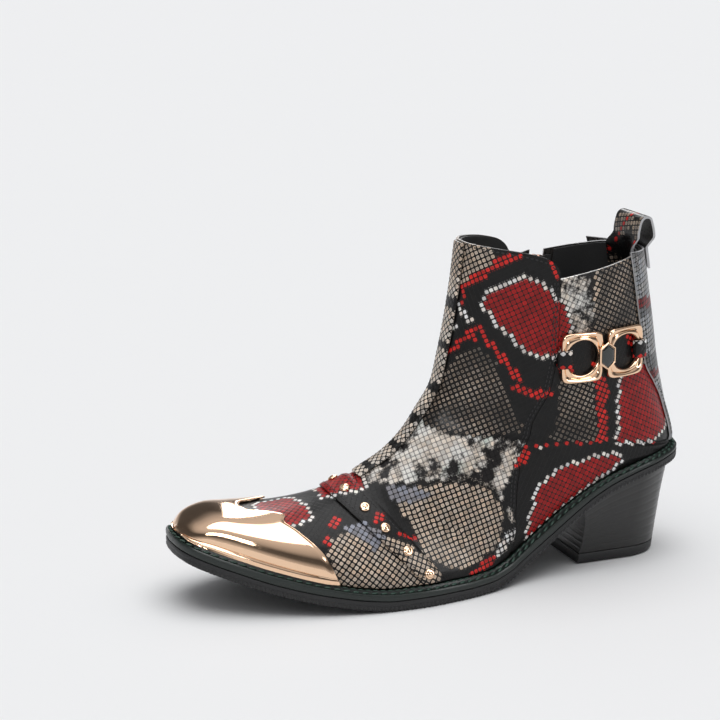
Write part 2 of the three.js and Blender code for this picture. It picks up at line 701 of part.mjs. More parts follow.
// Sections that every layer shares, so that the layers stay parallel to each other.
const SHAFT_ROWS = [0, 0.5, 1, 2, 3, 4, 4.5, 5];
const INSTEP_ROWS = [5.5, 6, 6.5, 7, 7.5, 8];
const HEEL_ROWS = [5.12, 5.28, 5.5, 5.75, 6, 6.5, 7, 7.5, 8];
const STRAP_ROWS = [9, 9.3, 9.6];
const FORE_ROWS = [
  ...STRAP_ROWS, STRAP_FRONT, 10.3, 10.7, 11.2, 11.6, 12, 12.5, 13, 13.5, 14, 14.4, VAMP_END,
];
const CROWD = 0.01; // least step between rows that an edge holds back
// The first row lies on a slanted upper edge, and the rows above 1 make room for it.
const fromTop = (row, top) => (row < 1 ? lerp(top, 1, row) : row);

const acrossFoot = shares(20).map((s) => lerp(-1, 1, s) * FOOT_EDGE);
const coarseAcross = acrossFoot.filter((_, i) => i % 2 === 0);
const undersideOf = LEATHER + LAYER_GAP;
const stiffenerRoom = STIFFENER + LAYER_GAP;
const OVER_TOP = LAYER_GAP + OVERLAY;

const FRONT_ROWS = [...SHAFT_ROWS, ...INSTEP_ROWS, 8.3, SEAM_END, ...STRAP_ROWS, TOE_ROW];
function frontPanel(side) {
  const centre = shiftV(HEEL_ROW, 0, GAP / 2);
  const place = (row, share, i) => {
    const v = lerp(centre, Math.min(seam(row), FOOT_EDGE), share);
    const edge = shiftU(strapRear(v), side * v, STRAP_LAP);
    return [Math.min(fromTop(row, frontTop(v)), edge - CROWD * (FRONT_ROWS.length - 1 - i)), side * v];
  };
  return panel(grid(FRONT_ROWS, shares(10), place), 0, -LEATHER);
}

function vamp() {
  const rows = [0, ...FORE_ROWS];
  const place = (row, v, i) => {
    const edge = shiftU(strapRear(Math.abs(v)), v, STRAP_LAP + GAP);
    return [Math.max(row, edge + CROWD * i), v];
  };
  return panel(grid(rows, acrossFoot, place), 0, -LEATHER);
}

function toeCap() {
  const rows = [0, 11.6, 12, 12.5, 13, 13.5, 14, 14.4, 14.9, 15.3, 15.6, 15.85, TOE_ROW];
  const place = (row, v, i) => [Math.max(row, capRear(Math.abs(v)) + CROWD * i), v];
  const layer = (depth) => {
    const points = grid(rows, acrossFoot, place).map((row) => row.map(([u, v]) => skin(u, v, depth)));
    points[rows.length - 1] = acrossFoot.map(() => skin(TOE_ROW, 0, depth));
    return points;
  };
  return shellBetween(layer(CAP_GAP + CAP_METAL), layer(CAP_GAP));
}

const PUFF_START = 12;
function toePuff() {
  const rows = FORE_ROWS.filter((row) => row >= PUFF_START);
  return panel(grid(rows, coarseAcross, (u, v) => [u, v]), -undersideOf, -undersideOf - STIFFENER);
}

// |v| of a rear panel's last column: at the back seam, or just above the welt.
const backEdge = (side, u) =>
  u <= HEEL_ROW ? Math.abs(shiftV(u, side, -side * (GAP / 2 + 0.1))) : FOOT_EDGE;

const QUARTER_COLUMNS = 13;
function lateralQuarterPlace(row, share) {
  const u = fromTop(row, quarterTop(lerp(seam(row), 1, share)));
  return [u, lerp(shiftV(u, seam(u), GAP), backEdge(1, u), share)];
}
function lateralQuarter() {
  const rows = [...SHAFT_ROWS, ...HEEL_ROWS, 8.3, 8.5];
  return panel(grid(rows, shares(QUARTER_COLUMNS), lateralQuarterPlace), 0, -LEATHER);
}

const MEDIAL_FRONT_ROWS = [...SHAFT_ROWS, 5.5, 6, 6.5, 7, 7.3, 7.5, 7.8, 8, 8.3, 8.5];
function medialQuarterFront() {
  const place = (row, share) => {
    const u = fromTop(row, quarterTop(lerp(seam(row), zipV(row), share)));
    const end = Math.min(besideZip(u, -ZIP_OPENING), FOOT_EDGE);
    return [u, -lerp(-shiftV(u, -seam(u), -GAP), end, share)];
  };
  return panel(grid(MEDIAL_FRONT_ROWS, shares(4), place), 0, -LEATHER);
}

// The first column lies on the layer's own edge beside the zip, and the others are shared by the layers.
const MEDIAL_REAR_ROWS = [...SHAFT_ROWS, 5.12, 5.28, 5.5, 5.75, 6, 6.5, 7, 7.3, 7.5, 7.7];
const MEDIAL_REAR_COLUMNS = 10;
const medialRear = (edge, drop) => (row, share, i, j) => {
  const at = (u) => {
    const next = lerp(besideZip(u, TAPE_REACH + 2), backEdge(-1, u), (j - 1) / (MEDIAL_REAR_COLUMNS - 1));
    return j === 0 ? besideZip(u, edge) : next;
  };
  const u = fromTop(row, quarterTop(at(0.3)) + drop);
  return [u, -at(u)];
};
function medialQuarterRear() {
  const places = grid(MEDIAL_REAR_ROWS, shares(MEDIAL_REAR_COLUMNS), medialRear(ZIP_OPENING, 0));
  return panel(places, 0, -LEATHER);
}

// Heel counters, one each side, between the quarters and the linings.
const COUNTER_TOP = 3;
const COUNTER_END = 6;
const COUNTER_COLUMN = 6; // the column of the lateral quarter where its counter starts
const counterRows = (rows) => rows.filter((row) => row >= COUNTER_TOP && row <= COUNTER_END);
function heelCounterLateral() {
  const columns = shares(QUARTER_COLUMNS).slice(COUNTER_COLUMN);
  const rows = counterRows([...SHAFT_ROWS, ...HEEL_ROWS]);
  return panel(grid(rows, columns, lateralQuarterPlace), -undersideOf, -undersideOf - STIFFENER);
}
function heelCounterMedial() {
  const columns = shares(MEDIAL_REAR_COLUMNS - 1);
  const place = (row, share, i, j) => medialRear(ZIP_OPENING, 0)(row, share, i, j + 1);
  return panel(grid(counterRows(MEDIAL_REAR_ROWS), columns, place), -undersideOf, -undersideOf - STIFFENER);
}

// Linings, cut back a little from the collar edge so that the leather's edge stands above them.
const LINING_DROP = 0.04;
const LINING_END = 8.6; // where the quarter linings meet the vamp lining
const FRONT_COLUMNS = 5;
const ZIP_MARGIN = 0.9; // between a tape's outer edge and the lining
const overCounter = (u, behind) => {
  const covered = behind && u >= COUNTER_TOP && u <= COUNTER_END;
  return -undersideOf - (covered ? stiffenerRoom : 0);
};
const liningPanel = (places, depth) => panel(places, depth, (u, j) => depth(u, j) - LINING);

// Columns in front of the seam, then columns behind it up to an end: |v| for each u.
function liningColumn(j, behindCount, end) {
  return (u) => {
    const middle = Math.min(seam(u), end(u) - 0.03);
    if (j <= FRONT_COLUMNS) return lerp(shiftV(HEEL_ROW, 0, GAP / 2), middle, j / FRONT_COLUMNS);
    return lerp(middle, end(u), (j - FRONT_COLUMNS) / behindCount);
  };
}
function liningPlace(side, behindCount, end) {
  return (row, share, i, j) => {
    const at = liningColumn(j, behindCount, end);
    const top = (j <= FRONT_COLUMNS ? frontTop : quarterTop)(at(0.3));
    const u = fromTop(row, top + LINING_DROP);
    return [u, side * at(u)];
  };
}
function lateralLining() {
  const rows = [...SHAFT_ROWS, ...HEEL_ROWS, LINING_END];
  const place = liningPlace(1, QUARTER_COLUMNS, (u) => backEdge(1, u));
  const counterFrom = FRONT_COLUMNS + COUNTER_COLUMN;
  const places = grid(rows, shares(FRONT_COLUMNS + QUARTER_COLUMNS), place);
  return liningPanel(places, (u, j) => overCounter(u, j >= counterFrom));
}
function medialLiningFront() {
  const rows = [...MEDIAL_FRONT_ROWS.slice(0, -1), LINING_END];
  const place = liningPlace(-1, 3, (u) => Math.min(besideZip(u, -TAPE_REACH - ZIP_MARGIN), FOOT_EDGE));
  return liningPanel(grid(rows, shares(FRONT_COLUMNS + 3), place), (u) => overCounter(u, false));
}
function medialLiningRear() {
  const place = medialRear(TAPE_REACH + ZIP_MARGIN, LINING_DROP);
  const places = grid(MEDIAL_REAR_ROWS, shares(MEDIAL_REAR_COLUMNS), place);
  return liningPanel(places, (u, j) => overCounter(u, j >= 1));
}
function vampLining() {
  const rows = [LINING_END + 0.03, ...FORE_ROWS, LINING_TOE];
  const depth = (u) => -undersideOf - (u >= PUFF_START ? stiffenerRoom : 0);
  return liningPanel(grid(rows, coarseAcross, (u, v) => [u, v]), depth);
}

/* ------------------------------------------------------------------ overlays */

function frontStay() {
  const rows = [0, 0.5, 1, 2, 3, 3.5, 4, 4.5, 5, 5.5, 6, 6.5, 7, 7.5, 8, 8.3];
  const place = (row, share) => {
    const u = Math.min(fromTop(row, 0.05), shiftU(strapRear(0), 0, -GAP - 1));
    return [u, shiftV(u, 0, lerp(-STAY_HALF_WIDTH, STAY_HALF_WIDTH, share))];
  };
  return panel(grid(rows, shares(4), place), OVER_TOP, LAYER_GAP);
}

const strapPlace = (share, v) => [lerp(strapRear(Math.abs(v)), STRAP_FRONT, share), v];
function vampStrap() {
  const strap = panel(
    grid(shares(2), shares(28), (share, s) => strapPlace(share, lerp(-0.97, 0.97, s))),
    OVER_TOP,
    LAYER_GAP,
  );
  return cut(strap, ...studFrames().map((frame) => studShank(GAP).applyMatrix4(frame)));
}

// The rivets sit along the middle of the strap.
function studFrames() {
  const sides = [...STUD_PLACES.map((v) => -v).reverse(), ...STUD_PLACES];
  return sides.map((v) => {
    const [u] = strapPlace(0.5, v);
    const normal = outward(u, v);
    const run = alongV(u, v).normalize();
    const third = new THREE.Vector3().crossVectors(normal, run);
    return new THREE.Matrix4().makeBasis(run, third, normal).setPosition(skin(u, v, OVER_TOP));
  });
}
function studShank(extra) {
  const length = OVERLAY + (extra ? 2 : 0);
  return new THREE.CylinderGeometry(STUD_SHANK_RADIUS + extra, STUD_SHANK_RADIUS + extra, length, 8)
    .rotateX(Math.PI / 2)
    .translate(0, 0, -OVERLAY / 2 + (extra ? 0 : GAP + 0.3));
}
function stud(frame) {
  const profile = [[0, 0], [1, 0], [0.97, 0.32], [0.8, 0.66], [0.45, 0.92], [0, 1]];
  const head = new THREE.LatheGeometry(
    profile.map(([r, h]) => vec2(r * STUD_RADIUS, h * STUD_HEIGHT)),
    12,
  )
    .rotateX(Math.PI / 2)
    .translate(0, 0, GAP);
  return join(head, studShank(0)).applyMatrix4(frame);
}

const stripHalf = monotone([
  [0, 0.26], [1, 0.245], [2, 0.235], [3, 0.22], [3.6, 0.17], [4.2, 0.12], [5, 0.12],
]);
const STRIP_END = 4.97;
function backStrip() {
  const rows = [0.02, 0.5, 1, 2, 3, 3.5, 4, 4.5, STRIP_END];
  const place = (row, share) => {
    const wide = stripHalf(row);
    const side = share < 0.5 ? -1 : 1;
    return [row, side * (1 - wide * Math.abs(2 * share - 1))];
  };
  const layer = (depth) =>
    grid(rows, shares(12), (row, share) => {
      const [u, v] = place(row, share);
      return share === 0.5 ? backCentre(u, depth) : skin(u, v, depth);
    });
  return shellBetween(layer(OVER_TOP), layer(LAYER_GAP));
}
// On the back seam the two sides meet, so both columns use one point.
function backCentre(u, depth) {
  return skin(u, 1, depth).add(skin(u, -1, depth)).multiplyScalar(0.5);
}

// A folded strip that stands above the back of the collar, sewn inside the lining and over the strip.
function pullLoop() {
  const across = shares(8).map((s) => lerp(-LOOP_WIDTH / 2, LOOP_WIDTH / 2, s));
  const inside = undersideOf + LINING + LAYER_GAP + OVERLAY / 2;
  const outside = OVER_TOP + LAYER_GAP + OVERLAY / 2;
  const collar = last(0, 1);
  const topZ = collar.z + LOOP_RISE;
  const tailPoint = (u, x, depth) => skin(u, besideBack(u, x, depth), depth);
  // How far the collar's own curve falls forward of its middle, at each column.
  const curl = (x, depth) => tailPoint(0, 0, depth).y - tailPoint(0, x, depth).y;
  const path = [
    [collar.y - inside - 0.4, collar.z + 2.5], [collar.y - inside - 1.2, collar.z + 8],
    [collar.y - inside + 0.2, topZ - 3], [collar.y - 2.6, topZ - 0.6], [collar.y - 0.6, topZ],
    [collar.y + 1.4, topZ - 0.6], [collar.y + outside - 0.6, topZ - 3],
    [collar.y + outside + 1, collar.z + 8], [collar.y + outside + 0.3, collar.z + 2.5],
  ];
  const curve = new THREE.CatmullRomCurve3(path.map(([y, z]) => new THREE.Vector3(0, y, z)));
  const tail = (rows, depth) => rows.map((u) => across.map((x) => tailPoint(u, x, depth)));
  const layer = (offset) => [
    ...tail([LOOP_TAIL_ROW, LOOP_TAIL_ROW / 2, 0], -inside - offset),
    ...shares(10).map((s) => {
      const at = curve.getPointAt(s);
      const run = curve.getTangentAt(s);
      const fade = 1 - ramp(at.z, collar.z, collar.z + 7);
      const fall = (x) => fade * lerp(curl(x, -inside), curl(x, outside), s);
      return across.map((x) => new THREE.Vector3(x, at.y - run.z * offset - fall(x), at.z + run.y * offset));
    }),
    ...tail([0, LOOP_TAIL_ROW / 2, LOOP_TAIL_ROW], outside + offset),
  ];
  return shellBetween(layer(OVERLAY / 2), layer(-OVERLAY / 2));
}
// v where a layer of the last is x to one side of the back seam.
function besideBack(u, x, depth) {
  const side = x < 0 ? -1 : 1;
  let low = 0.7;
  let high = 1;
  for (let turn = 0; turn < 30; turn += 1) {
    const middle = (low + high) / 2;
    if (Math.abs(skin(u, side * middle, depth).x) > Math.abs(x)) low = middle;
    else high = middle;
  }
  return side * high;
}

/* ------------------------------------------------------------------ side ornament */

// A flat design in the side view (y, z, depth above the leather) laid on the lateral quarter.
const onLateral = (geometry) => bent(geometry, (y, z, depth) => sidePoint(1, y, z, depth));

function roundedRectangle(y, z, width, height, radius) {
  const points = [];
  [[1, 1], [-1, 1], [-1, -1], [1, -1]].forEach(([sy, sz], quarter) => {
    [0, 1, 2, 3].forEach((k) => {
      const angle = (quarter + k / 3) * (Math.PI / 2);
      const cy = y + sy * (width / 2 - radius);
      const cz = z + sz * (height / 2 - radius);
      points.push(vec2(cy + radius * Math.cos(angle), cz + radius * Math.sin(angle)));
    });
  });
  return points;
}
const circle = (y, z, radius, count) =>
  shares(count)
    .slice(1)
    .map((s) => -2 * Math.PI * s)
    .map((angle) => vec2(y + radius * Math.cos(angle), z + radius * Math.sin(angle)));
const linkTop = LINK_LIFT + LINK_THICKNESS;
function link(y) {
  const outline = roundedRectangle(y, ORNAMENT_Z, LINK_WIDTH, LINK_HEIGHT, 4.5);
  return onLateral(extruded(outline, LINK_LIFT, linkTop, [circle(y, ORNAMENT_Z, LINK_HOLE, 20)]));
}

const HEXAGON_Y = FRONT_LINK_Y + LINK_SPACING / 2;
function hexagon(inset) {
  const w = HEXAGON_WIDTH / 2 - inset;
  const h = HEXAGON_HEIGHT / 2 - inset * 1.15;
  const shoulder = h * 0.55;
  const corners = [
    [0, h], [-w, shoulder], [-w, -shoulder], [0, -h], [w, -shoulder], [w, shoulder],
  ];
  return corners.map(([y, z]) => vec2(HEXAGON_Y + y, ORNAMENT_Z + z));
}
const hexagonUnderside = linkTop + GAP;
const hexagonFloor = hexagonUnderside + HEXAGON_BASE;
function hexagonConnector() {
  const stemHalf = (LINK_SPACING - LINK_WIDTH) / 2 - GAP;
  const stem = [[1, 1], [-1, 1], [-1, -1], [1, -1]].map(([y, z]) =>
    vec2(HEXAGON_Y + y * stemHalf, ORNAMENT_Z + z * STEM_HALF_HEIGHT),
  );
  const flat = join(
    extruded(hexagon(0), hexagonUnderside, hexagonFloor),
    extruded(hexagon(0), hexagonFloor - 0.2, hexagonFloor + HEXAGON_RIM, [
      hexagon(HEXAGON_RIM_WIDTH).reverse(),
    ]),
    extruded(stem, LINK_LIFT, hexagonUnderside + 0.2),
  );
  return onLateral(flat);
}
function enamelInlay() {
  const outline = hexagon(HEXAGON_RIM_WIDTH + GAP);
  return onLateral(extruded(outline, hexagonFloor + GAP, hexagonFloor + HEXAGON_RIM));
}

// A leather tab folded over a link's outer bar, a channel open towards the quarter.
function strapTab(linkY, towardsBack) {
  const edge = LINK_WIDTH / 2;
  const chord = Math.sqrt(LINK_HOLE ** 2 - (TAB_HALF_HEIGHT + 2 * GAP) ** 2);
  const inner = chord - GAP / 2; // clear of the hole's round edge
  const roof = linkTop + GAP + OVERLAY;
  const foot = LAYER_GAP;
  const profile = [
    [edge + GAP + OVERLAY, foot], [edge + GAP, foot], [edge + GAP, linkTop + GAP],
    [inner, linkTop + GAP], [inner, foot], [inner - OVERLAY, foot], [inner - OVERLAY, roof],
    [edge + GAP + OVERLAY, roof],
  ];
  const flat = extruded(profile.map(([y, d]) => vec2(y, d)), -TAB_HALF_HEIGHT, TAB_HALF_HEIGHT);
  const way = towardsBack ? 1 : -1;
  return bent(flat, (y, depth, z) => sidePoint(1, linkY + way * y, ORNAMENT_Z + z, depth));
}

/* ------------------------------------------------------------------ zip */

const coilDepth = undersideOf + TAPE / 2 + 0.7; // the coil's middle plane, under the leather's edges
const zipStart = sidePoint(-1, zipTopY, ZIP_TOP.z, -coilDepth);
const zipFinish = sidePoint(-1, zipBottomY, ZIP_BOTTOM.z, -coilDepth);
const zipLength = zipStart.distanceTo(zipFinish);
const zipDown = zipFinish.clone().sub(zipStart).normalize();
const zipOutward = new THREE.Vector3(-1, 0, 0).addScaledVector(zipDown, zipDown.x).normalize();
const zipBack = new THREE.Vector3().crossVectors(zipOutward, zipDown).normalize(); // towards the heel
const towardsHeel = Math.sign(zipBack.y);
const zipFrame = (s) =>
  new THREE.Matrix4()
    .makeBasis(zipBack.clone().multiplyScalar(towardsHeel), zipDown, zipOutward)
    .setPosition(zipStart.clone().addScaledVector(zipDown, s));
const zipPoint = (aside, s, out) => new THREE.Vector3(aside, 0, out).applyMatrix4(zipFrame(s));

function box(width, length, height, x, y, z) {
  return new THREE.BoxGeometry(width, length, height).translate(x, y, z);
}
function inZip(geometry, s) {
  const placed = geometry.clone().applyMatrix4(zipFrame(s));
  const solid = placed.index ? placed : mergeVertices(placed, 1e-4);
  const at = solid.getAttribute("position");
  const pointCount = { length: at.count };
  const faceCount = { length: solid.index.count / 3 };
  const points = Array.from(pointCount, (_, i) => new THREE.Vector3().fromBufferAttribute(at, i));
  const faces = Array.from(faceCount, (_, i) => [0, 1, 2].map((k) => solid.index.getX(3 * i + k)));
  return closed(points, faces);
}

const coilAside = COIL_SLOT / 2 + COIL_WIDTH / 2;
const STOP_LENGTH = 3;
function zipCoil(way) {
  const length = zipLength - 2 * STOP_LENGTH - 2 * GAP;
  return inZip(box(COIL_WIDTH, length, COIL_THICKNESS, way * coilAside, 0, 0), zipLength / 2);
}
function zipTopStop(way) {
  return inZip(box(COIL_WIDTH, STOP_LENGTH, COIL_THICKNESS + 1.4, way * coilAside, 0, 0), STOP_LENGTH / 2);
}
function zipBottomStop() {
  const width = 2 * COIL_WIDTH + COIL_SLOT;
  return inZip(box(width, STOP_LENGTH, COIL_THICKNESS + 1.4, 0, 0, 0), zipLength - STOP_LENGTH / 2);
}
function zipTape(way) {
  const start = COIL_SLOT / 2 + COIL_WIDTH + GAP;
  const middle = ZIP_OPENING - 0.2;
  const layer = (out, depth) =>
    shares(14).map((share) => {
      const s = lerp(0.5, zipLength - 0.5, share);
      const spine = zipPoint(0, s, 0);
      const rim = sidePoint(-1, spine.y + way * TAPE_REACH, spine.z, depth);
      const near = sidePoint(-1, spine.y + way * (ZIP_OPENING + 1.6), spine.z, depth);
      return [zipPoint(way * start, s, out), zipPoint(way * middle, s, out), near, rim];
    });
  return shellBetween(layer(TAPE / 2, -undersideOf), layer(-TAPE / 2, -undersideOf - TAPE));
}

const plateTop = COIL_THICKNESS / 2 + GAP + SLIDER_PLATE;
const sliderCentre = SLIDER_REST + SLIDER_LENGTH / 2;
const pinAt = -SLIDER_LENGTH / 2 + 3.4; // along the slider, from its middle
const EAR = 1;
const HEAD_WIDTH = 2.8;
const HEAD_RADIUS = 2.1;
function sliderPlate(middle) {
  const w = SLIDER_WIDTH / 2;
  const h = SLIDER_LENGTH / 2;
  const outline = [[-w, -h], [w, -h], [w, 0.2 * h], [0.62 * w, h], [-0.62 * w, h], [-w, 0.2 * h]];
  return extruded(outline.map(([x, y]) => vec2(x, y)), middle - SLIDER_PLATE / 2, middle + SLIDER_PLATE / 2);
}
function zipSlider() {
  const top = plateTop - SLIDER_PLATE / 2;
  const postLength = 3;
  const earAside = HEAD_WIDTH / 2 + GAP + EAR / 2;
  const earHeight = PIN_LIFT + 1.5;
  const ear = (way) => box(EAR, 3.6, earHeight, way * earAside, pinAt, plateTop + earHeight / 2 - 0.1);
  const pin = new THREE.CylinderGeometry(PIN_RADIUS, PIN_RADIUS, 2 * earAside, 10)
    .rotateZ(Math.PI / 2)
    .translate(0, pinAt, plateTop + PIN_LIFT);
  const post = box(COIL_SLOT - 2 * GAP, postLength, 2 * top, 0, -SLIDER_LENGTH / 2 + postLength / 2, 0);
  return inZip(join(sliderPlate(top), sliderPlate(-top), post, ear(1), ear(-1), pin), sliderCentre);
}
// The pull hangs from the slider's pin: a round head, shoulders and a waisted plate with a window.
function zipPullTab() {
  const w = PULL_WIDTH / 2;
  const end = PULL_LENGTH;
  const shoulder = HEAD_RADIUS + 0.9;
  const outline = [
    [-HEAD_WIDTH / 2, 0.5], [HEAD_WIDTH / 2, 0.5], [HEAD_WIDTH / 2, shoulder], [w, shoulder + 1], [w, 9],
    [0.72 * w, 12], [0.72 * w, 16], [w * 1.08, end - 3], [w * 0.8, end], [-w * 0.8, end],
    [-w * 1.08, end - 3],
    [-0.72 * w, 16], [-0.72 * w, 12], [-w, 9], [-w, shoulder + 1], [-HEAD_WIDTH / 2, shoulder],
  ];
  const window = [[-1.2, 4.6], [-1.2, 8.2], [1.2, 8.2], [1.2, 4.6]];
  const plate = extruded(
    outline.map(([x, y]) => vec2(x, y)),
    -PULL_THICKNESS / 2,
    PULL_THICKNESS / 2,
    [window.map(([x, y]) => vec2(x, y))],
  );
  const head = new THREE.CylinderGeometry(HEAD_RADIUS, HEAD_RADIUS, HEAD_WIDTH, 16).rotateZ(Math.PI / 2);
  const boreRadius = PIN_RADIUS + PIN_CLEARANCE;
  const bore = new THREE.CylinderGeometry(boreRadius, boreRadius, 8, 16).rotateZ(Math.PI / 2);
  const pull = cut(join(plate, head), bore).translate(0, pinAt, plateTop + PIN_LIFT);
  return inZip(pull, sliderCentre);
}

/* ------------------------------------------------------------------ assembly */

add("outsole", outsole(), FINISH.outsole);
add("welt", welt(), FINISH.welt);
add("heel_block", heelBlock(), FINISH.heel);
add("heel_top_lift", topLift(), FINISH.outsole);
add("heel_screw", screwShape(0), FINISH.steel);
const boardInset = undersideOf + stiffenerRoom + LINING + GAP;
const sockInset = boardInset + 0.3;
add("insole_board", cut(innerPlate(boardInset, boardUnderside, boardTop), screwShape(GAP)), FINISH.board);
add(
  "sock_liner",
  innerPlate(sockInset, (y) => boardTop(y) + GAP, (y) => boardTop(y) + GAP + SOCK),
  FINISH.blackLeather,
);
add("forefoot_filler", innerPlate(WELT_LAND + 1, weltUnderside, weltTop, 0, 0.52), FINISH.cork);
add("shank", shank(), FINISH.steel);

add("vamp", vamp(), FINISH.vampSkin);
add("toe_puff", toePuff(), FINISH.stiffener);
add("toe_cap", toeCap(), FINISH.roseGold);
add("vamp_lining", vampLining(), FINISH.lining);
add("lateral_front_panel", frontPanel(1), FINISH.snakeskin);
add("medial_front_panel", frontPanel(-1), FINISH.snakeskin);
add("lateral_quarter", lateralQuarter(), FINISH.snakeskin);
add("medial_quarter_front", medialQuarterFront(), FINISH.snakeskin);
add("medial_quarter_rear", medialQuarterRear(), FINISH.snakeskin);
add("heel_counter_lateral", heelCounterLateral(), FINISH.stiffener);
add("heel_counter_medial", heelCounterMedial(), FINISH.stiffener);
add("lateral_lining", lateralLining(), FINISH.lining);
add("medial_lining_front", medialLiningFront(), FINISH.lining);
add("medial_lining_rear", medialLiningRear(), FINISH.lining);

add("front_stay", frontStay(), FINISH.blackLeather);
add("vamp_strap", vampStrap(), FINISH.snakeskin);
studFrames().forEach((frame, i) => add("strap_stud_" + (i + 1), stud(frame), FINISH.roseGold));
add("back_strip", backStrip(), FINISH.silver);
add("pull_loop", pullLoop(), FINISH.snakeskin);

add("ornament_front_link", link(FRONT_LINK_Y), FINISH.roseGold);
add("ornament_rear_link", link(FRONT_LINK_Y + LINK_SPACING), FINISH.roseGold);
add("ornament_hexagon", hexagonConnector(), FINISH.roseGold);
add("ornament_enamel", enamelInlay(), FINISH.enamel);
add("front_strap_tab", strapTab(FRONT_LINK_Y, false), FINISH.snakeskin);
add("rear_strap_tab", strapTab(FRONT_LINK_Y + LINK_SPACING, true), FINISH.blackLeather);

add("zip_tape_front", zipTape(-1), FINISH.tape);
add("zip_tape_rear", zipTape(1), FINISH.tape);
add("zip_coil_front", zipCoil(-1), FINISH.tape);
add("zip_coil_rear", zipCoil(1), FINISH.tape);
add("zip_top_stop_front", zipTopStop(-1), FINISH.roseGold);
add("zip_top_stop_rear", zipTopStop(1), FINISH.roseGold);
add("zip_bottom_stop", zipBottomStop(), FINISH.roseGold);
add("zip_slider", zipSlider(), FINISH.roseGold);
add("zip_pull_tab", zipPullTab(), FINISH.roseGold);

// The origin is the middle of the boot's own box, on the floor.
const extent = new THREE.Box3().setFromObject(boot, true);
boot.position.set(-(extent.min.x + extent.max.x) / 2, -(extent.min.y + extent.max.y) / 2, -extent.min.z);
boot.updateMatrixWorld(true);

export default boot;
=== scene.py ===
import json
import math

import bmesh
import bpy
import numpy as np
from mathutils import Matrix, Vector

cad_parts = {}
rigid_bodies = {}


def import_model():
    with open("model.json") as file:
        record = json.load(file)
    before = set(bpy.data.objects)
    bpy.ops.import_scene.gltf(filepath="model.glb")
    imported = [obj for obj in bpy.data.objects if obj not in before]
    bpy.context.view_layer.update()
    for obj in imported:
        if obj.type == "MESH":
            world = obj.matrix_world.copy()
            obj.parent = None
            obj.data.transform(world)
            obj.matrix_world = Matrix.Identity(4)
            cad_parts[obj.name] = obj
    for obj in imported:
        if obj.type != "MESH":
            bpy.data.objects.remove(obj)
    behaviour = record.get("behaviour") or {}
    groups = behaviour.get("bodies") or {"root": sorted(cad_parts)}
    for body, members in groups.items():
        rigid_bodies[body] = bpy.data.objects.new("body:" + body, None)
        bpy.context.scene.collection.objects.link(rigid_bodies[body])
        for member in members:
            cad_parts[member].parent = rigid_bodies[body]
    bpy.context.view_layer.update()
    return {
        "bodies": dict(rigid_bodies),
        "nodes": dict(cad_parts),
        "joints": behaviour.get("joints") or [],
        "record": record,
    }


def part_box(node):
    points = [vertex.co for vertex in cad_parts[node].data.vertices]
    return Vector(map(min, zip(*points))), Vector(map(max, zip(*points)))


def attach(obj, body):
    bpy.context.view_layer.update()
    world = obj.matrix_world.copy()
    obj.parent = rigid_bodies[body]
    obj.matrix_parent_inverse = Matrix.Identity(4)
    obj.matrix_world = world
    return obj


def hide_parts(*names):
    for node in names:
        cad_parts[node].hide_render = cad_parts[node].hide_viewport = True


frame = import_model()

# ------------------------------------------------------------------ sizes, in millimetres

MM = 0.001
LEATHER = 1.5
LINING = 1.1
STIFFENER = 1.2
OVERLAY = 1.4
LAYER_GAP = 0.6
GAP = 0.35
CAP_METAL = 1.3
CAP_GAP = 0.7
WELT_REACH = 5.0
WELT_LAND = 8.0
FOREFOOT_OUTSOLE = 5.4
HEEL_OUTSOLE = 4.4
HEEL_BREAST_Y = 84.5
HEEL_BACK_Y = 142.5
HEEL_HALF_WIDTH = 23.5
TOP_LIFT = 6.0
STAY_HALF_WIDTH = 6.0
STUD_RADIUS = 2.9
STUD_HEIGHT = 1.7
STUD_PLACES = [0.1, 0.29, 0.46, 0.65, 0.87]
ZIP_TOP = (81.0, 172.0)
ZIP_BOTTOM = (65.5, 52.0)
ZIP_OPENING = 4.5
TAPE_REACH = 9.2
TAPE = 0.6
COIL_WIDTH = 1.9
COIL_THICKNESS = 1.6
COIL_SLOT = 1.4
LINK_WIDTH = 25.0
LINK_HEIGHT = 28.5
LINK_HOLE = 10.0
LINK_THICKNESS = 2.6
LINK_LIFT = 0.8
FRONT_LINK_Y = 77.0
LINK_SPACING = 28.6
ORNAMENT_Z = 126.5
LOOP_WIDTH = 28.0
LOOP_RISE = 18.0
LOOP_TAIL_ROW = 0.6
UNDERSIDE = LEATHER + LAYER_GAP
STIFFENER_ROOM = STIFFENER + LAYER_GAP
OVER_TOP = LAYER_GAP + OVERLAY
TOE_TIP = -145.0
HEEL_END = 151.0
HEEL_ROW = 5
TOE_ROW = 16
STEP = 1e-3
FOOT_EDGE = 0.985

# The boot's own drawing is moved so that the middle of its box is the origin.
loop_low, loop_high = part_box("pull_loop")
sole_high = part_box("outsole")[1]
SHIFT = np.array([(loop_low.x + loop_high.x) / 2 / MM, sole_high.y / MM - HEEL_END - WELT_REACH, 0.0])

# ------------------------------------------------------------------ small mathematics

lerp = lambda a, b, t: a + (b - a) * t


def ramp(x, start, end):
    t = np.clip((np.asarray(x, float) - start) / (end - start), 0, 1)
    return t * t * (3 - 2 * t)


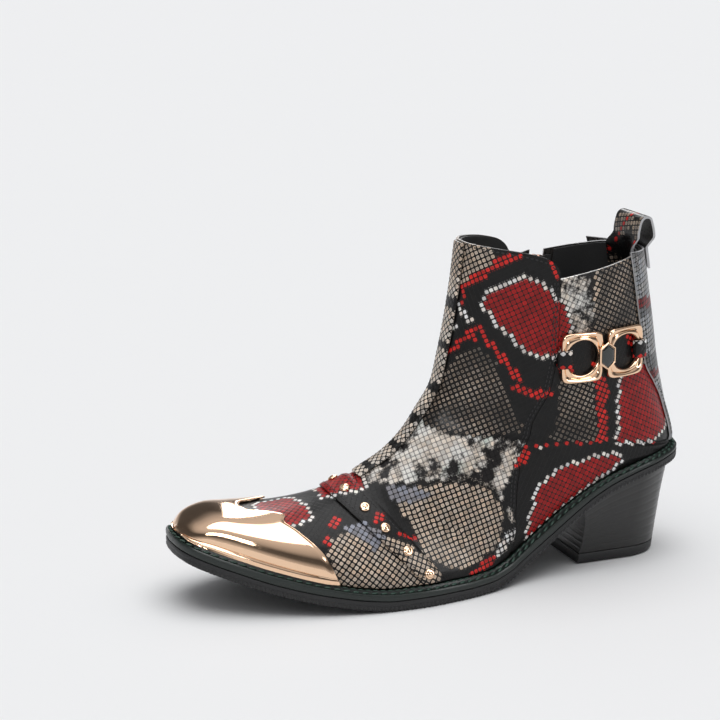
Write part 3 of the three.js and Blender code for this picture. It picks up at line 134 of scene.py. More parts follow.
def monotone(keys):
    """Monotone cubic through [x, y] keys, flat beyond its ends."""
    x = np.array([k[0] for k in keys], float)
    y = np.array([k[1] for k in keys], float)
    h = np.diff(x)
    slope = np.diff(y) / h
    tangent = np.zeros(len(x))
    tangent[0], tangent[-1] = slope[0], slope[-1]
    for i in range(1, len(x) - 1):
        if slope[i - 1] * slope[i] > 0:
            w1, w2 = 2 * h[i] + h[i - 1], h[i] + 2 * h[i - 1]
            tangent[i] = (w1 + w2) / (w1 / slope[i - 1] + w2 / slope[i])

    def at(value):
        q = np.clip(np.asarray(value, float), x[0], x[-1])
        i = np.clip(np.searchsorted(x, q, side="right") - 1, 0, len(x) - 2)
        t = (q - x[i]) / h[i]
        s = 1 - t
        return ((1 + 2 * t) * s * s * y[i] + t * s * s * h[i] * tangent[i]
                + t * t * (3 - 2 * t) * y[i + 1] - t * t * s * h[i] * tangent[i + 1])
    return at


# ------------------------------------------------------------------ the sole line

tread = monotone([
    (-152, 31), (-139, 25.3), (-119.5, 18.2), (-104, 12.8), (-87.5, 8.2), (-71, 4.6), (-54, 1.6),
    (-38, 0),
    (4, 0), (20, 0.7), (32.6, 3.9), (41, 8.5), (51, 14.8), (61, 21.5), (70, 28.2), (80, 35.3),
    (90, 41.3), (100, 46), (112, 50), (125, 53.5), (140, 56), (156, 57.5)])
sole_thickness = monotone([
    (-152, 12.6), (-104, 12.6), (-54, 11), (20, 11), (40, 12), (60, 12.3), (80, 10.5), (100, 9),
    (125, 8.5), (156, 7.5)])
feather = lambda y: tread(y) + sole_thickness(y)
outsole_thickness = lambda y: lerp(FOREFOOT_OUTSOLE, HEEL_OUTSOLE, ramp(y, 40, 80))
outsole_top = lambda y: tread(y) + outsole_thickness(y)
lateral_half = monotone([
    (-145, 0), (-144, 9), (-141, 15), (-133, 21), (-119, 28), (-95, 36.5), (-68, 44), (-45, 47.5),
    (-25, 48.5),
    (0, 46), (15, 43), (30, 39), (45, 35.5), (60, 33.5), (95, 32), (122, 30), (138, 23.5), (147, 13.5),
    (151, 0)])
medial_half = monotone([
    (-145, 0), (-144, 9), (-141, 15), (-133, 20), (-119, 26.5), (-95, 34), (-68, 40), (-45, 41.5),
    (-25, 39),
    (10, 30), (35, 26), (60, 26), (95, 29), (122, 28), (138, 22.5), (147, 13), (151, 0)])


def half_width(side, y):
    return np.where(np.asarray(side) > 0, lateral_half(y), medial_half(y))


centre_line = lambda y: -5 * np.clip((-np.asarray(y, float) - 40) / 105, 0, 1) ** 2

# ------------------------------------------------------------------ the last

SECTIONS = np.array([
    [18.5, 190, 128, 180, 47, 45, 45, 43, 0],
    [16, 168, 132, 158, 47, 45, 45, 43, 0],
    [12.5, 146, 136, 136, 46, 45, 45, 43, 0],
    [9, 128.5, 139.5, 114, 45, 46, 44, 43, 0],
    [4, 109, 144.5, 92, 43, 50, 41, 47, 0],
    [-5, 95, 151, np.nan, 37, 55, 36, 52, 2],
    [-13.5, 82.8, 134, np.nan, 40, 42, 38, 40, 30],
    [-25, 72.3, 97, np.nan, 37, 41, 35, 37, 28],
    [-38, 65, 57, np.nan, 34, 43, 32, 33, 24],
    [-50, 59, 17, np.nan, 32, 46, 30, 35, 20],
    [-63, 55, -24, np.nan, 31, 50, 29, 41, 17],
    [-79, 52, -60, np.nan, 30, 49, 28, 43, 15],
    [-96, 50.3, -92, np.nan, 27, 41, 27, 38, 14],
    [-112, 50, -116, np.nan, 24, 33, 24, 31, 14],
    [-126, 50, -131, np.nan, 20, 25, 20, 25, 13],
    [-137, 46.5, -141, np.nan, 13, 18, 13, 18, 8],
    [-144.5, 42, -145, np.nan, 0, 0, 0, 0, 0]])
SECTIONS[:, 3] = np.where(np.isnan(SECTIONS[:, 3]), feather(SECTIONS[:, 2]), SECTIONS[:, 3])


def section_rows(u):
    """Catmull-Rom through the sections; the last axis holds the nine numbers of a row."""
    q = np.clip(np.asarray(u, float), 0, TOE_ROW)
    i = np.minimum(np.floor(q).astype(int), TOE_ROW - 1)
    t = (q - i)[..., None]
    a, b = SECTIONS[np.maximum(i - 1, 0)], SECTIONS[i]
    c, d = SECTIONS[i + 1], SECTIONS[np.minimum(i + 2, TOE_ROW)]
    square, cube = 2 * a - 5 * b + 4 * c - d, 3 * b - a - 3 * c + d
    return 0.5 * (2 * b + (c - a) * t + square * t * t + cube * t ** 3)


SEAT = [SECTIONS[HEEL_ROW], SECTIONS[HEEL_ROW + 1]]


def last(u, v):
    u, v = np.broadcast_arrays(np.asarray(u, float), np.asarray(v, float))
    row = section_rows(u)
    top_y, top_z, end_y, row_z, lat_top, lat_end, med_top, med_end, lean = np.moveaxis(row, -1, 0)
    side = np.where(v < 0, -1.0, 1.0)
    t = np.abs(v)
    s = 1 - t
    on_feather = u > HEEL_ROW
    end_z = np.where(on_feather, feather(end_y), row_z)
    half = half_width(side, end_y)
    end_x = np.where(on_feather, half, 0)
    reach = np.maximum(np.hypot(end_y - top_y, end_z - top_z), 1e-6)
    top = np.where(side > 0, lat_top, med_top)
    end = np.where(side > 0, lat_end, med_end)
    column = np.where(side > 0, 5, 7)
    opened = half / half_width(side, SEAT[1][2])
    seat = lerp(np.take(SEAT[0], column), np.take(SEAT[1], column), opened)
    end = np.where(on_feather & (u < HEEL_ROW + 1), seat, end)
    across = 3 * s * s * t * top + 3 * s * t * t * end + t ** 3 * end_x
    down = (3 * s * t * t * (reach - np.maximum(lean, 0)) + t ** 3 * reach) / reach
    y = lerp(top_y, end_y, down)
    return np.stack([side * across + centre_line(y), y, lerp(top_z, end_z, down)], -1)


def unit(p):
    return p / np.maximum(np.linalg.norm(p, axis=-1, keepdims=True), 1e-12)


along_u = lambda u, v: last(np.minimum(u + STEP, TOE_ROW), v) - last(np.maximum(u - STEP, 0), v)
along_v = lambda u, v: last(u, np.minimum(v + STEP, 1)) - last(u, np.maximum(v - STEP, -1))
HEEL_RADIUS = 27.0


def outward(u, v):
    u, v = np.broadcast_arrays(np.asarray(u, float), np.asarray(v, float))
    across = unit(np.cross(along_u(u, v), along_v(u, v)))
    here = last(u, v)
    wall = unit(np.stack([here[..., 0], np.maximum(here[..., 1] - (HEEL_END - HEEL_RADIUS), 0), 0 * u], -1))
    share = (ramp(u, 4.6, 4.95) * (1 - ramp(u, 5.55, 5.9)) * ramp(np.abs(v), 0.42, 0.6))[..., None]
    normal = unit(across * (1 - share) + wall * share)
    normal[u > TOE_ROW - 2 * STEP] = (0, -1, 0)
    return normal


def skin(u, v, depth):
    point = last(u, v) + outward(u, v) * np.asarray(depth, float)[..., None]
    point[..., 2] = np.maximum(point[..., 2], feather(point[..., 1]) + 0.1)
    return point


def shift_v(u, v, length):
    u, v = np.broadcast_arrays(np.asarray(u, float), np.asarray(v, float))
    span = np.minimum(v + STEP, 1) - np.maximum(v - STEP, -1)
    return v + length * span / np.linalg.norm(along_v(u, v), axis=-1)


def shift_u(u, v, length):
    u, v = np.broadcast_arrays(np.asarray(u, float), np.asarray(v, float))
    span = np.minimum(u + STEP, TOE_ROW) - np.maximum(u - STEP, 0)
    return u + length * span / np.linalg.norm(along_u(u, v), axis=-1)


def side_place(side, y, z):
    """The place on one side of the last that a side view shows at y, z."""
    y, z = np.broadcast_arrays(np.asarray(y, float), np.asarray(z, float))
    u = np.clip((190 - z) / 20, 0.3, 7)
    v = np.full_like(u, side * 0.55)
    for _ in range(40):
        here = last(u, v)
        gap_y, gap_z = y - here[..., 1], z - here[..., 2]
        du = (last(u + STEP, v) - here) / STEP
        dv = (last(u, v + STEP) - here) / STEP
        area = du[..., 1] * dv[..., 2] - du[..., 2] * dv[..., 1]
        u = np.clip(u + np.clip((gap_y * dv[..., 2] - gap_z * dv[..., 1]) / area, -0.6, 0.6), 0, 8.6)
        v = v + np.clip((du[..., 1] * gap_z - du[..., 2] * gap_y) / area, -0.1, 0.1)
        v = side * np.clip(side * v, 0.02, 0.995)
    return u, v


def side_point(side, y, z, depth):
    u, v = side_place(side, y, z)
    return skin(u, v, depth)


# ------------------------------------------------------------------ seams and edges on the last

SEAM_END = 8.65
seam = monotone([
    (0, 0.437), (1.6, 0.44), (2.6, 0.44), (3.6, 0.425), (4.7, 0.388), (5.7, 0.44), (7.2, 0.618),
    (7.9, 0.765),
    (8.5, 0.962), (SEAM_END, 1)])
front_top = monotone([(0, 0), (0.13, 0.01), (0.25, 0.05), (0.38, 0.2), (0.42, 0.36), (0.44, 0.55)])
quarter_top = monotone([(0.43, 0.7), (0.58, 0.47), (0.733, 0.22), (0.85, 0.05), (1, 0)])
strap_rear = monotone([(0, 8.62), (0.235, 8.92), (0.475, 9.26), (0.7, 9.47), (1, 9.63)])
STRAP_FRONT = 9.92
cap_rear = monotone([
    (0, 12.9), (0.1, 12.75), (0.16, 12.05), (0.22, 11.72), (0.3, 11.85), (0.43, 11.6), (0.65, 11.3),
    (1, 11.25)])
strip_half = monotone([(0, 0.26), (1, 0.245), (2, 0.235), (3, 0.22), (3.6, 0.17), (4.2, 0.12), (5, 0.12)])
zip_slope = (ZIP_TOP[0] - ZIP_BOTTOM[0]) / (ZIP_TOP[1] - ZIP_BOTTOM[1])
zip_line_y = lambda z: ZIP_TOP[0] + (z - ZIP_TOP[1]) * zip_slope


def find_zip_v(u):
    low, high = np.full_like(u, 0.3), np.ones_like(u)
    beyond = last(u, -high)
    whole = beyond[..., 1] < zip_line_y(beyond[..., 2])
    for _ in range(40):
        middle = (low + high) / 2
        here = last(u, -middle)
        before = here[..., 1] < zip_line_y(here[..., 2])
        low, high = np.where(before, middle, low), np.where(before, high, middle)
    return np.where(whole, 1.0, low)


ZIP_TABLE_U = np.linspace(0, 9, 901)
ZIP_TABLE_V = find_zip_v(ZIP_TABLE_U)
zip_v = lambda u: np.interp(u, ZIP_TABLE_U, ZIP_TABLE_V)


def beside_zip(u, length):
    v = zip_v(u)
    closing = ramp(last(u, -v)[..., 2], ZIP_BOTTOM[1] - 9, ZIP_BOTTOM[1] - 4)
    aside = np.sign(length) * lerp(GAP / 2, abs(length), closing)
    return np.where(v >= 1, 1.0, np.clip(-shift_v(u, -v, -aside), 0.3, 1))


def back_edge(side, u):
    near = np.abs(shift_v(u, float(side), -side * (GAP / 2 + 0.1)))
    return np.where(np.asarray(u) <= HEEL_ROW, near, FOOT_EDGE)


from_top = lambda row, top: np.where(row < 1, lerp(top, 1.0, np.minimum(row, 1)), row)

# ------------------------------------------------------------------ materials

MATERIALS = {}


class Tree:
    """The node tree of a material or a world, with short ways to add to it."""

    def __init__(self, owner, shader):
        owner.use_nodes = True
        self.nodes, self.links = owner.node_tree.nodes, owner.node_tree.links
        self.shader = self.nodes[shader]

    def node(self, kind, **settings):
        made = self.nodes.new(kind)
        for key, value in settings.items():
            if key.startswith("i_"):
                made.inputs[key[2:].replace("_", " ")].default_value = value
            else:
                setattr(made, key, value)
        return made

    def put(self, value, socket):
        if hasattr(value, "is_linked"):
            self.links.new(value, socket)
        else:
            socket.default_value = (*value, 1) if isinstance(value, tuple) else value

    def shade(self, **values):
        for name, value in values.items():
            self.put(value, self.shader.inputs[name.replace("_", " ")])

    def calc(self, operation, *values):
        made = self.node("ShaderNodeMath", operation=operation)
        for socket, value in zip(made.inputs, values):
            self.put(value, socket)
        return made.outputs[0]

    def scaled(self, colour, factor):
        made = self.node("ShaderNodeVectorMath", operation="SCALE")
        self.put(colour, made.inputs[0])
        self.put(factor, made.inputs[3])
        return made.outputs[0]

    def mixed(self, factor, a, b):
        made = self.node("ShaderNodeMix", data_type="RGBA")
        for socket, value in zip((made.inputs[0], made.inputs[6], made.inputs[7]), (factor, a, b)):
            self.put(value, socket)
        return made.outputs[2]

    def spread(self, value, low, high, to_low=0.0, to_high=1.0, smooth=True):
        made = self.node("ShaderNodeMapRange", interpolation_type="SMOOTHSTEP" if smooth else "LINEAR")
        for socket, limit in zip(made.inputs, (value, low, high, to_low, to_high)):
            self.put(limit, socket)
        return made.outputs[0]

    def places(self):
        return self.nodes.new("ShaderNodeTexCoord").outputs["Object"]

    def noise(self, scale, detail=3.0, rough=0.5, stretch=None):
        made = self.node("ShaderNodeTexNoise", i_Scale=scale, i_Detail=detail, i_Roughness=rough)
        source = self.places()
        if stretch:
            mapping = self.nodes.new("ShaderNodeMapping")
            mapping.inputs["Scale"].default_value = stretch
            self.links.new(source, mapping.inputs[0])
            source = mapping.outputs[0]
        self.links.new(source, made.inputs["Vector"])
        return made.outputs["Fac"]

    def bump(self, height, distance, strength):
        made = self.node("ShaderNodeBump", i_Distance=distance, i_Strength=strength)
        self.links.new(height, made.inputs["Height"])
        self.shade(Normal=made.outputs[0])


def material_tree(name):
    MATERIALS[name] = bpy.data.materials.new(name)
    return Tree(MATERIALS[name], "Principled BSDF")


BLACK = (0.0065, 0.006, 0.006)
RAW = (0.56, 0.56, 0.57)


def make_hide():
    """Printed snakeskin: each scale's colour, line, dark centre and marble come with the mesh."""
    tree = material_tree("snake_print_leather")
    hide, cut, core, blur, rim = (tree.node("ShaderNodeAttribute", attribute_name=name)
                                  for name in ("hide", "cut", "core", "marble", "rim"))
    cut, core, blur, rim = (each.outputs["Fac"] for each in (cut, core, blur, rim))
    parts = tree.nodes.new("ShaderNodeSeparateXYZ")
    tree.links.new(tree.node("ShaderNodeUVMap", uv_map="cells").outputs[0], parts.inputs[0])
    squares = []
    for axis in (0, 1):
        share = tree.calc("MULTIPLY_ADD", tree.calc("FRACT", parts.outputs[axis]), 2.0, -1.0)
        squares.append(tree.calc("POWER", tree.calc("ABSOLUTE", share), 4.0))
    radius = tree.calc("POWER", tree.calc("ADD", *squares), 0.25)
    edge = tree.calc("SUBTRACT", 1.0, cut)
    mask = tree.spread(radius, tree.calc("SUBTRACT", edge, 0.12), edge, 1.0, 0.0)
    streak = tree.noise(900.0, 2.0)
    wear = tree.noise(160.0, 4.0, 0.6)
    centre = tree.calc("MULTIPLY", tree.spread(radius, 0.30, 0.52, 1.0, 0.0), core)
    toned = tree.scaled(hide.outputs["Color"], tree.calc("MULTIPLY_ADD", wear, 0.7, 0.62))
    lined = tree.mixed(mask, BLACK, tree.mixed(centre, toned, (0.035, 0.030, 0.028)))
    # Marbled parts: cloudy white and cream scales with black blotches and a breath of mint.
    cloud = tree.noise(70.0, 6.0, 0.68)
    mint = tree.spread(tree.noise(38.0, 2.0, 0.5), 0.58, 0.72)
    white = tree.spread(tree.noise(55.0, 3.0, 0.5), 0.42, 0.58, 0.15, 0.9)
    pale = tree.mixed(white, toned, tree.mixed(mint, (0.86, 0.845, 0.81), (0.46, 0.60, 0.54)))
    marble = tree.mixed(tree.spread(cloud, 0.43, 0.53, 1.0, 0.0), pale, (0.014, 0.012, 0.012))
    marbled = tree.scaled(marble, tree.calc("MULTIPLY_ADD", mask, 0.66, 0.34))
    gloss = tree.calc("MULTIPLY_ADD", wear, 0.25, 0.24)
    tree.shade(Base_Color=tree.mixed(rim, tree.mixed(blur, lined, marbled), RAW),
               Roughness=tree.calc("MAXIMUM", gloss, tree.calc("MULTIPLY", rim, 0.75)),
               Specular_IOR_Level=0.20, Coat_Weight=0.08, Coat_Roughness=0.10)
    tree.bump(tree.calc("MULTIPLY_ADD", mask, 0.5, tree.calc("MULTIPLY", streak, 0.22)), 0.00018, 0.9)


def make_plain(name, colour, roughness, grain, depth, metallic=0.0, variation=0.25, coat=0.0, stretch=None,
               coat_roughness=0.1):
    """One colour with broad variation, and a fine grain in its roughness and, with a depth, its bump."""
    tree = material_tree(name)
    fine = tree.noise(grain, 4.0, 0.6, stretch)
    broad = tree.noise(grain * 0.11, 3.0, 0.5)
    low = tuple(c * (1 - variation) for c in colour)
    high = tuple(min(1.0, c * (1 + variation)) for c in colour)
    rough = tree.spread(fine, 0.25, 0.75, roughness * 0.8, min(1.0, roughness * 1.25), False)
    tree.shade(Base_Color=tree.mixed(broad, low, high), Roughness=rough, Metallic=metallic,
               Coat_Weight=coat, Coat_Roughness=coat_roughness)
    if depth:
        tree.bump(fine, depth, 0.6)


def make_weave(name, colour, pitch, roughness):
    tree = material_tree(name)
    coords = tree.places()
    bands = []
    for axis in ("Y", "Z"):
        wave = tree.node("ShaderNodeTexWave", wave_type="BANDS", bands_direction=axis,
                         i_Scale=math.pi / (10 * pitch), i_Distortion=0.4)
        tree.links.new(coords, wave.inputs["Vector"])
        bands.append(wave.outputs["Fac"])
    cloth = tree.calc("MULTIPLY", *bands)
    tree.shade(Base_Color=tree.mixed(cloth, tuple(c * 0.4 for c in colour), colour), Roughness=roughness,
               Sheen_Weight=0.25)
    tree.bump(cloth, 0.0002, 0.7)


make_hide()
ROSE = (0.90, 0.62, 0.42)
make_plain("rose_gold_plate", ROSE, 0.09, 260.0, 0.0, 1.0, 0.05)
make_plain("copper_zip_metal", (0.93, 0.55, 0.40), 0.15, 500.0, 0.00001, 1.0, 0.06)
make_plain("black_lining_leather", (0.012, 0.012, 0.013), 0.62, 1400.0, 0.00012, 0.0, 0.3)
make_plain("black_leather", (0.014, 0.013, 0.013), 0.36, 1200.0, 0.00010, 0.0, 0.3, 0.15)
make_plain("green_black_welt", (0.005, 0.012, 0.009), 0.40, 700.0, 0.00010, 0.0, 0.35, 0.1)
make_plain("green_thread", (0.022, 0.060, 0.042), 0.55, 2500.0, 0.00005, 0.0, 0.2)
make_plain("black_thread", (0.010, 0.010, 0.011), 0.6, 2500.0, 0.00005, 0.0, 0.2)
make_plain("black_rubber", (0.009, 0.009, 0.010), 0.5, 900.0, 0.00008, 0.0, 0.3)
make_plain("black_heel_stack", (0.008, 0.0075, 0.007), 0.34, 220.0, 0.00010, 0.0, 0.35, 0.15,
           (0.3, 0.3, 6.0))
make_plain("green_black_enamel", (0.012, 0.018, 0.016), 0.07, 500.0, 0.0, 0.0, 0.2, 0.6, None, 0.04)
make_plain("fibre_board", (0.35, 0.24, 0.13), 0.85, 900.0, 0.0002)
make_plain("cork_filler", (0.30, 0.18, 0.09), 0.9, 600.0, 0.0004)
make_plain("stiffener_board", (0.50, 0.42, 0.30), 0.85, 1200.0, 0.0002)
make_plain("shank_steel", (0.42, 0.43, 0.44), 0.32, 700.0, 0.00003, 1.0)
make_weave("zip_tape_weave", (0.022, 0.022, 0.024), 0.0006, 0.8)
make_plain("zip_coil_nylon", (0.016, 0.016, 0.018), 0.35, 900.0, 0.00003)

# ------------------------------------------------------------------ mesh building


def make_object(name, points, faces, material, smooth_angle=40.0):
    mesh = bpy.data.meshes.new(name)
    mesh.from_pydata(((np.asarray(points) + SHIFT) * MM).tolist(), [], [list(map(int, f)) for f in faces])
    mesh.validate()
    mesh.update()
    obj = bpy.data.objects.new(name, mesh)
    bpy.context.scene.collection.objects.link(obj)
    mesh.materials.append(MATERIALS[material])
    mesh.shade_smooth()
    mesh.set_sharp_from_angle(angle=math.radians(smooth_angle))
    return obj


def settle(obj, replaced=(), body="boot"):
    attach(obj, body)
    if replaced:
        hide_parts(*replaced)
    return obj


def bands(loops, count, closed=False):
    """Quads between stacked loops of count points; closed joins the last loop to the first."""
    i = np.arange(count)
    j = (i + 1) % count
    low = np.arange(loops if closed else loops - 1)[:, None] * count
    high = (low + count) % (loops * count)
    return np.stack([low + i, low + j, high + j, high + i], -1).reshape(-1, 4)


def revolve(profile, count, frame):
    """Closed lathe of (radius, height) pairs about the frame's third axis; the ends lie on the axis."""
    angles = np.linspace(0, 2 * math.pi, count, endpoint=False)
    origin, x, y, z = frame
    points = [origin + z * profile[0][1]]
    for r, h in profile[1:-1]:
        points += [origin + x * r * math.cos(t) + y * r * math.sin(t) + z * h for t in angles]
    points.append(origin + z * profile[-1][1])
    end, base = len(points) - 1, 1 + (len(profile) - 3) * count
    faces = [(0, 1 + (k + 1) % count, 1 + k) for k in range(count)]
    faces += (1 + bands(len(profile) - 2, count)).tolist()
    faces += [(end, base + k, base + (k + 1) % count) for k in range(count)]
    return np.array(points), faces


def shell_faces(rows, columns):
    """Faces of a closed shell between an outer grid and an inner grid; the rim faces come last."""
    i, j = np.meshgrid(np.arange(rows - 1), np.arange(columns - 1), indexing="ij")
    a = (i * columns + j).ravel()
    quads = np.stack([a, a + columns, a + columns + 1, a + 1], -1)
    count = rows * columns
    inner = (quads + count)[:, ::-1]
    ring = np.concatenate([
        np.arange(columns - 1), (np.arange(rows - 1) * columns + columns - 1),
        (rows - 1) * columns + np.arange(columns - 1, 0, -1), np.arange(rows - 1, 0, -1) * columns])
    following = np.roll(ring, -1)
    rim = np.stack([ring, following, following + count, ring + count], -1)
    return np.concatenate([quads, inner, rim]), len(rim)


def outward_facing(points, faces):
    tri = points[faces[:, :3]]
    tri2 = points[faces[:, [0, 2, 3]]]
    volume = (np.einsum("ij,ij->i", tri[:, 0], np.cross(tri[:, 1], tri[:, 2])).sum()
              + np.einsum("ij,ij->i", tri2[:, 0], np.cross(tri2[:, 1], tri2[:, 2])).sum())
    return faces if volume > 0 else faces[:, ::-1]


def shell_object(name, outer, inner, material, smooth_angle=40.0):
    rows, columns = outer.shape[:2]
    faces, rim_count = shell_faces(rows, columns)
    points = np.concatenate([outer.reshape(-1, 3), inner.reshape(-1, 3)])
    faces = outward_facing(points, faces)
    obj = make_object(name, points, faces, material, smooth_angle)
    obj["rim_faces"] = rim_count
    return obj


def panel(name, places, outer, inner, material):
    return shell_object(name, skin(*places, outer), skin(*places, inner), material)


# ------------------------------------------------------------------ snake print


def between(values, old_rows, old_columns, rows, columns):
    """A grid of pairs read at other rows and columns, in a straight line between its own."""
    wide = np.stack([[np.interp(columns, old_columns, line[:, c]) for line in values] for c in (0, 1)], -1)
    return np.stack([np.stack([np.interp(rows, old_rows, wide[:, j, c]) for j in range(len(columns))], -1)
                     for c in (0, 1)], -1)


def relaxed(q, p, turns):
    """Moves the flat points q until their neighbours are as far apart as those of p."""
    pairs = [((slice(None), slice(None, -1)), (slice(None), slice(1, None))),
             ((slice(None, -1), slice(None)), (slice(1, None), slice(None))),
             ((slice(None, -1), slice(None, -1)), (slice(1, None), slice(1, None))),
             ((slice(None, -1), slice(1, None)), (slice(1, None), slice(None, -1)))]
    lengths = [np.linalg.norm(p[s] - p[t], axis=-1) for s, t in pairs]
    count = np.zeros(q.shape[:2])
    for s, t in pairs:
        count[s] += 1
        count[t] += 1
    for _ in range(turns):
        move = np.zeros_like(q)
        for (s, t), length in zip(pairs, lengths):
            gap = q[t] - q[s]
            now = np.maximum(np.linalg.norm(gap, axis=-1), 1e-9)
            push = gap * (0.5 * (1 - length / now))[..., None]
            move[s] += push
            move[t] -= push
        q += 1.5 * move / count[..., None]
    return q


def flatten(points):
    """Lays a grid of points flat with as little stretch as possible: (a, b) in millimetres."""
    n, m = points.shape[:2]
    q = None
    for most_rows, most_columns, turns in ((7, 6, 500), (13, 11, 500), (25, 21, 500), (46, 38, 400)):
        rows = np.unique(np.linspace(0, n - 1, min(n, most_rows)).round().astype(int))
        columns = np.unique(np.linspace(0, m - 1, min(m, most_columns)).round().astype(int))
        p = points[np.ix_(rows, columns)]
        if q is None:
            k = len(columns) // 2
            down = np.concatenate([[0], np.cumsum(np.linalg.norm(np.diff(p[:, k], axis=0), axis=-1))])
            across = np.cumsum(np.linalg.norm(np.diff(p, axis=1), axis=-1), axis=1)
            across = np.concatenate([np.zeros((len(rows), 1)), across], axis=1)
            across -= across[:, k:k + 1]
            q = np.stack([across, np.repeat(-down[:, None], len(columns), axis=1)], -1)
        else:
            q = between(q, old_rows, old_columns, rows, columns)
        q = relaxed(q, p, turns)
        old_rows, old_columns = rows, columns
    return between(q, rows, columns, np.arange(n), np.arange(m))


def inside(shape, u, v):
    hit = np.zeros(u.shape, bool)
    x, y = u, v * 5
    corners = [(a, b * 5) for a, b in shape]
    for (x0, y0), (x1, y1) in zip(corners, corners[1:] + corners[:1]):
        cross = ((y0 > y) != (y1 > y)) & (x < (x1 - x0) * (y - y0) / (y1 - y0 + 1e-12) + x0)
        hit ^= cross
    return hit


def near_line(shape, u, v, width):
    """Within width millimetres of a broken line; one u is about 21 mm, one v about 118 mm."""
    best = np.full(u.shape, 1e9)
    x, y = u * 21, v * 118
    for (a0, b0), (a1, b1) in zip(shape, shape[1:]):
        x0, y0, x1, y1 = a0 * 21, b0 * 118, a1 * 21, b1 * 118
        length = (x1 - x0) ** 2 + (y1 - y0) ** 2
        t = np.clip(((x - x0) * (x1 - x0) + (y - y0) * (y1 - y0)) / max(length, 1e-9), 0, 1)
        best = np.minimum(best, np.hypot(x - x0 - t * (x1 - x0), y - y0 - t * (y1 - y0)))
    return best < width


# The print on the outer side and the front of the boot, in the last's own u and v.
OUTER_PATCHES = [
    [(1.32, .17), (1.01, .22), (.74, .30), (.81, .36), (1.13, .42), (1.5, .47), (2.1, .475), (2.74, .43),
     (2.62, .36), (2.14, .29), (2.01, .27), (1.71, .22)],
    [(3.3, .66), (3.0, .80), (3.1, .92), (4.4, .90), (4.8, .78), (5.0, .63), (4.2, .635)],
    [(8.35, .97), (7.4, .74), (6.75, .69), (6.1, .76), (6.3, .86), (7.0, .94), (7.6, .97)],
    [(12.3, -.06), (11.2, -.06), (10.95, .10), (11.05, .24), (11.6, .33), (12.2, .30), (12.4, .1)],
    [(10.1, -.10), (8.5, -.12), (8.3, .05), (8.75, .15), (9.5, .13), (10.15, .08)]]
OUTER_LINES = [
    ([(1.1, .06), (.62, .17), (.22, .28)], 3.2), ([(1.05, .07), (1.5, .075)], 2.0),
    ([(3.0, .05), (2.45, .11), (2.06, .17), (2.7, .25), (3.4, .33)], 2.6), ([(2.25, .13), (2.45, .17)],
    2.5),
    ([(3.7, .33), (3.85, .38), (3.75, .42)], 3.2), ([(3.35, .575), (5.1, .58), (5.75, .46)], 2.6),
    ([(3.4, .585), (3.9, .585)], 3.6), ([(2.9, .46), (3.2, .48)], 3.6), ([(2.95, .57), (2.7, .60)], 3.0),
    ([(2.1, .71), (2.5, .73)], 4.0), ([(5.05, .66), (4.9, .74), (5.15, .80)], 1.8),
    ([(8.75, .90), (9.05, .97)], 4.0), ([(9.1, .98), (9.3, .99)], 2.5), ([(9.35, .37), (9.6, .40)], 3.0),
    ([(9.45, .53), (9.3, .56)], 3.0), ([(10.35, .29), (10.65, .37)], 3.2), ([(11.05, .47),
    (11.0, .52)], 2.8),
    ([(.35, .40), (.62, .42)], 2.2), ([(6.0, .48), (6.6, .53)], 2.4)]
OUTER_BEADS = [([(1.6, .05), (1.85, .12)], 2.5), ([(2.0, .07), (2.2, .04)], 2.0), ([(8.3, .86),
               (8.6, .90)], 3.5),
               ([(5.75, .47), (5.7, .50)], 2.0)]
OUTER_TAN = [
    [(-.2, -.02), (-.2, .15), (.35, .21), (.8, .12), (1.1, .05), (1.2, -.02)],
    [(7.95, .30), (7.45, .42), (7.5, .56), (7.9, .69), (8.4, .84), (9.3, .88), (9.5, .7), (9.2, .55),
     (8.8, .40), (8.4, .3)],
    [(9.9, .45), (10.3, .41), (10.9, .48), (11.2, .6), (11.3, 1.0), (9.7, 1.0), (9.5, .8), (9.5, .62)],
    [(.2, .56), (.1, .62), (1.2, .62), (2.0, .56)]]
OUTER_LATTICE = [
    [(.1, .60), (.05, .80), (2.0, .78), (2.1, .55)],
    [(2.6, .17), (3.0, .10), (3.5, .05), (5.2, .02), (5.5, .15), (5.5, .3), (5.0, .38), (4.2, .33),
    (3.0, .25)],
    [(3.45, .45), (3.4, .555), (5.3, .565), (5.2, .45)]]
OUTER_MARBLE = [
    [(5.3, -.02), (5.2, .13), (5.55, .2), (5.45, .33), (5.6, .43), (7.6, .62), (8.3, .86), (8.0, .78),
     (7.6, .62), (7.25, .48), (7.6, .30), (8.2, .2), (8.55, .06), (8.6, -.02)],
    [(.55, .44), (.45, .56), (2.1, .55), (2.0, .44)]]
OUTER_GREY = [
    [(8.3, .2), (7.85, .32), (8.0, .42), (8.4, .40), (8.6, .28)], [(10.4, .38), (9.85, .38),
    (9.75, .52), (10.2, .6)]]

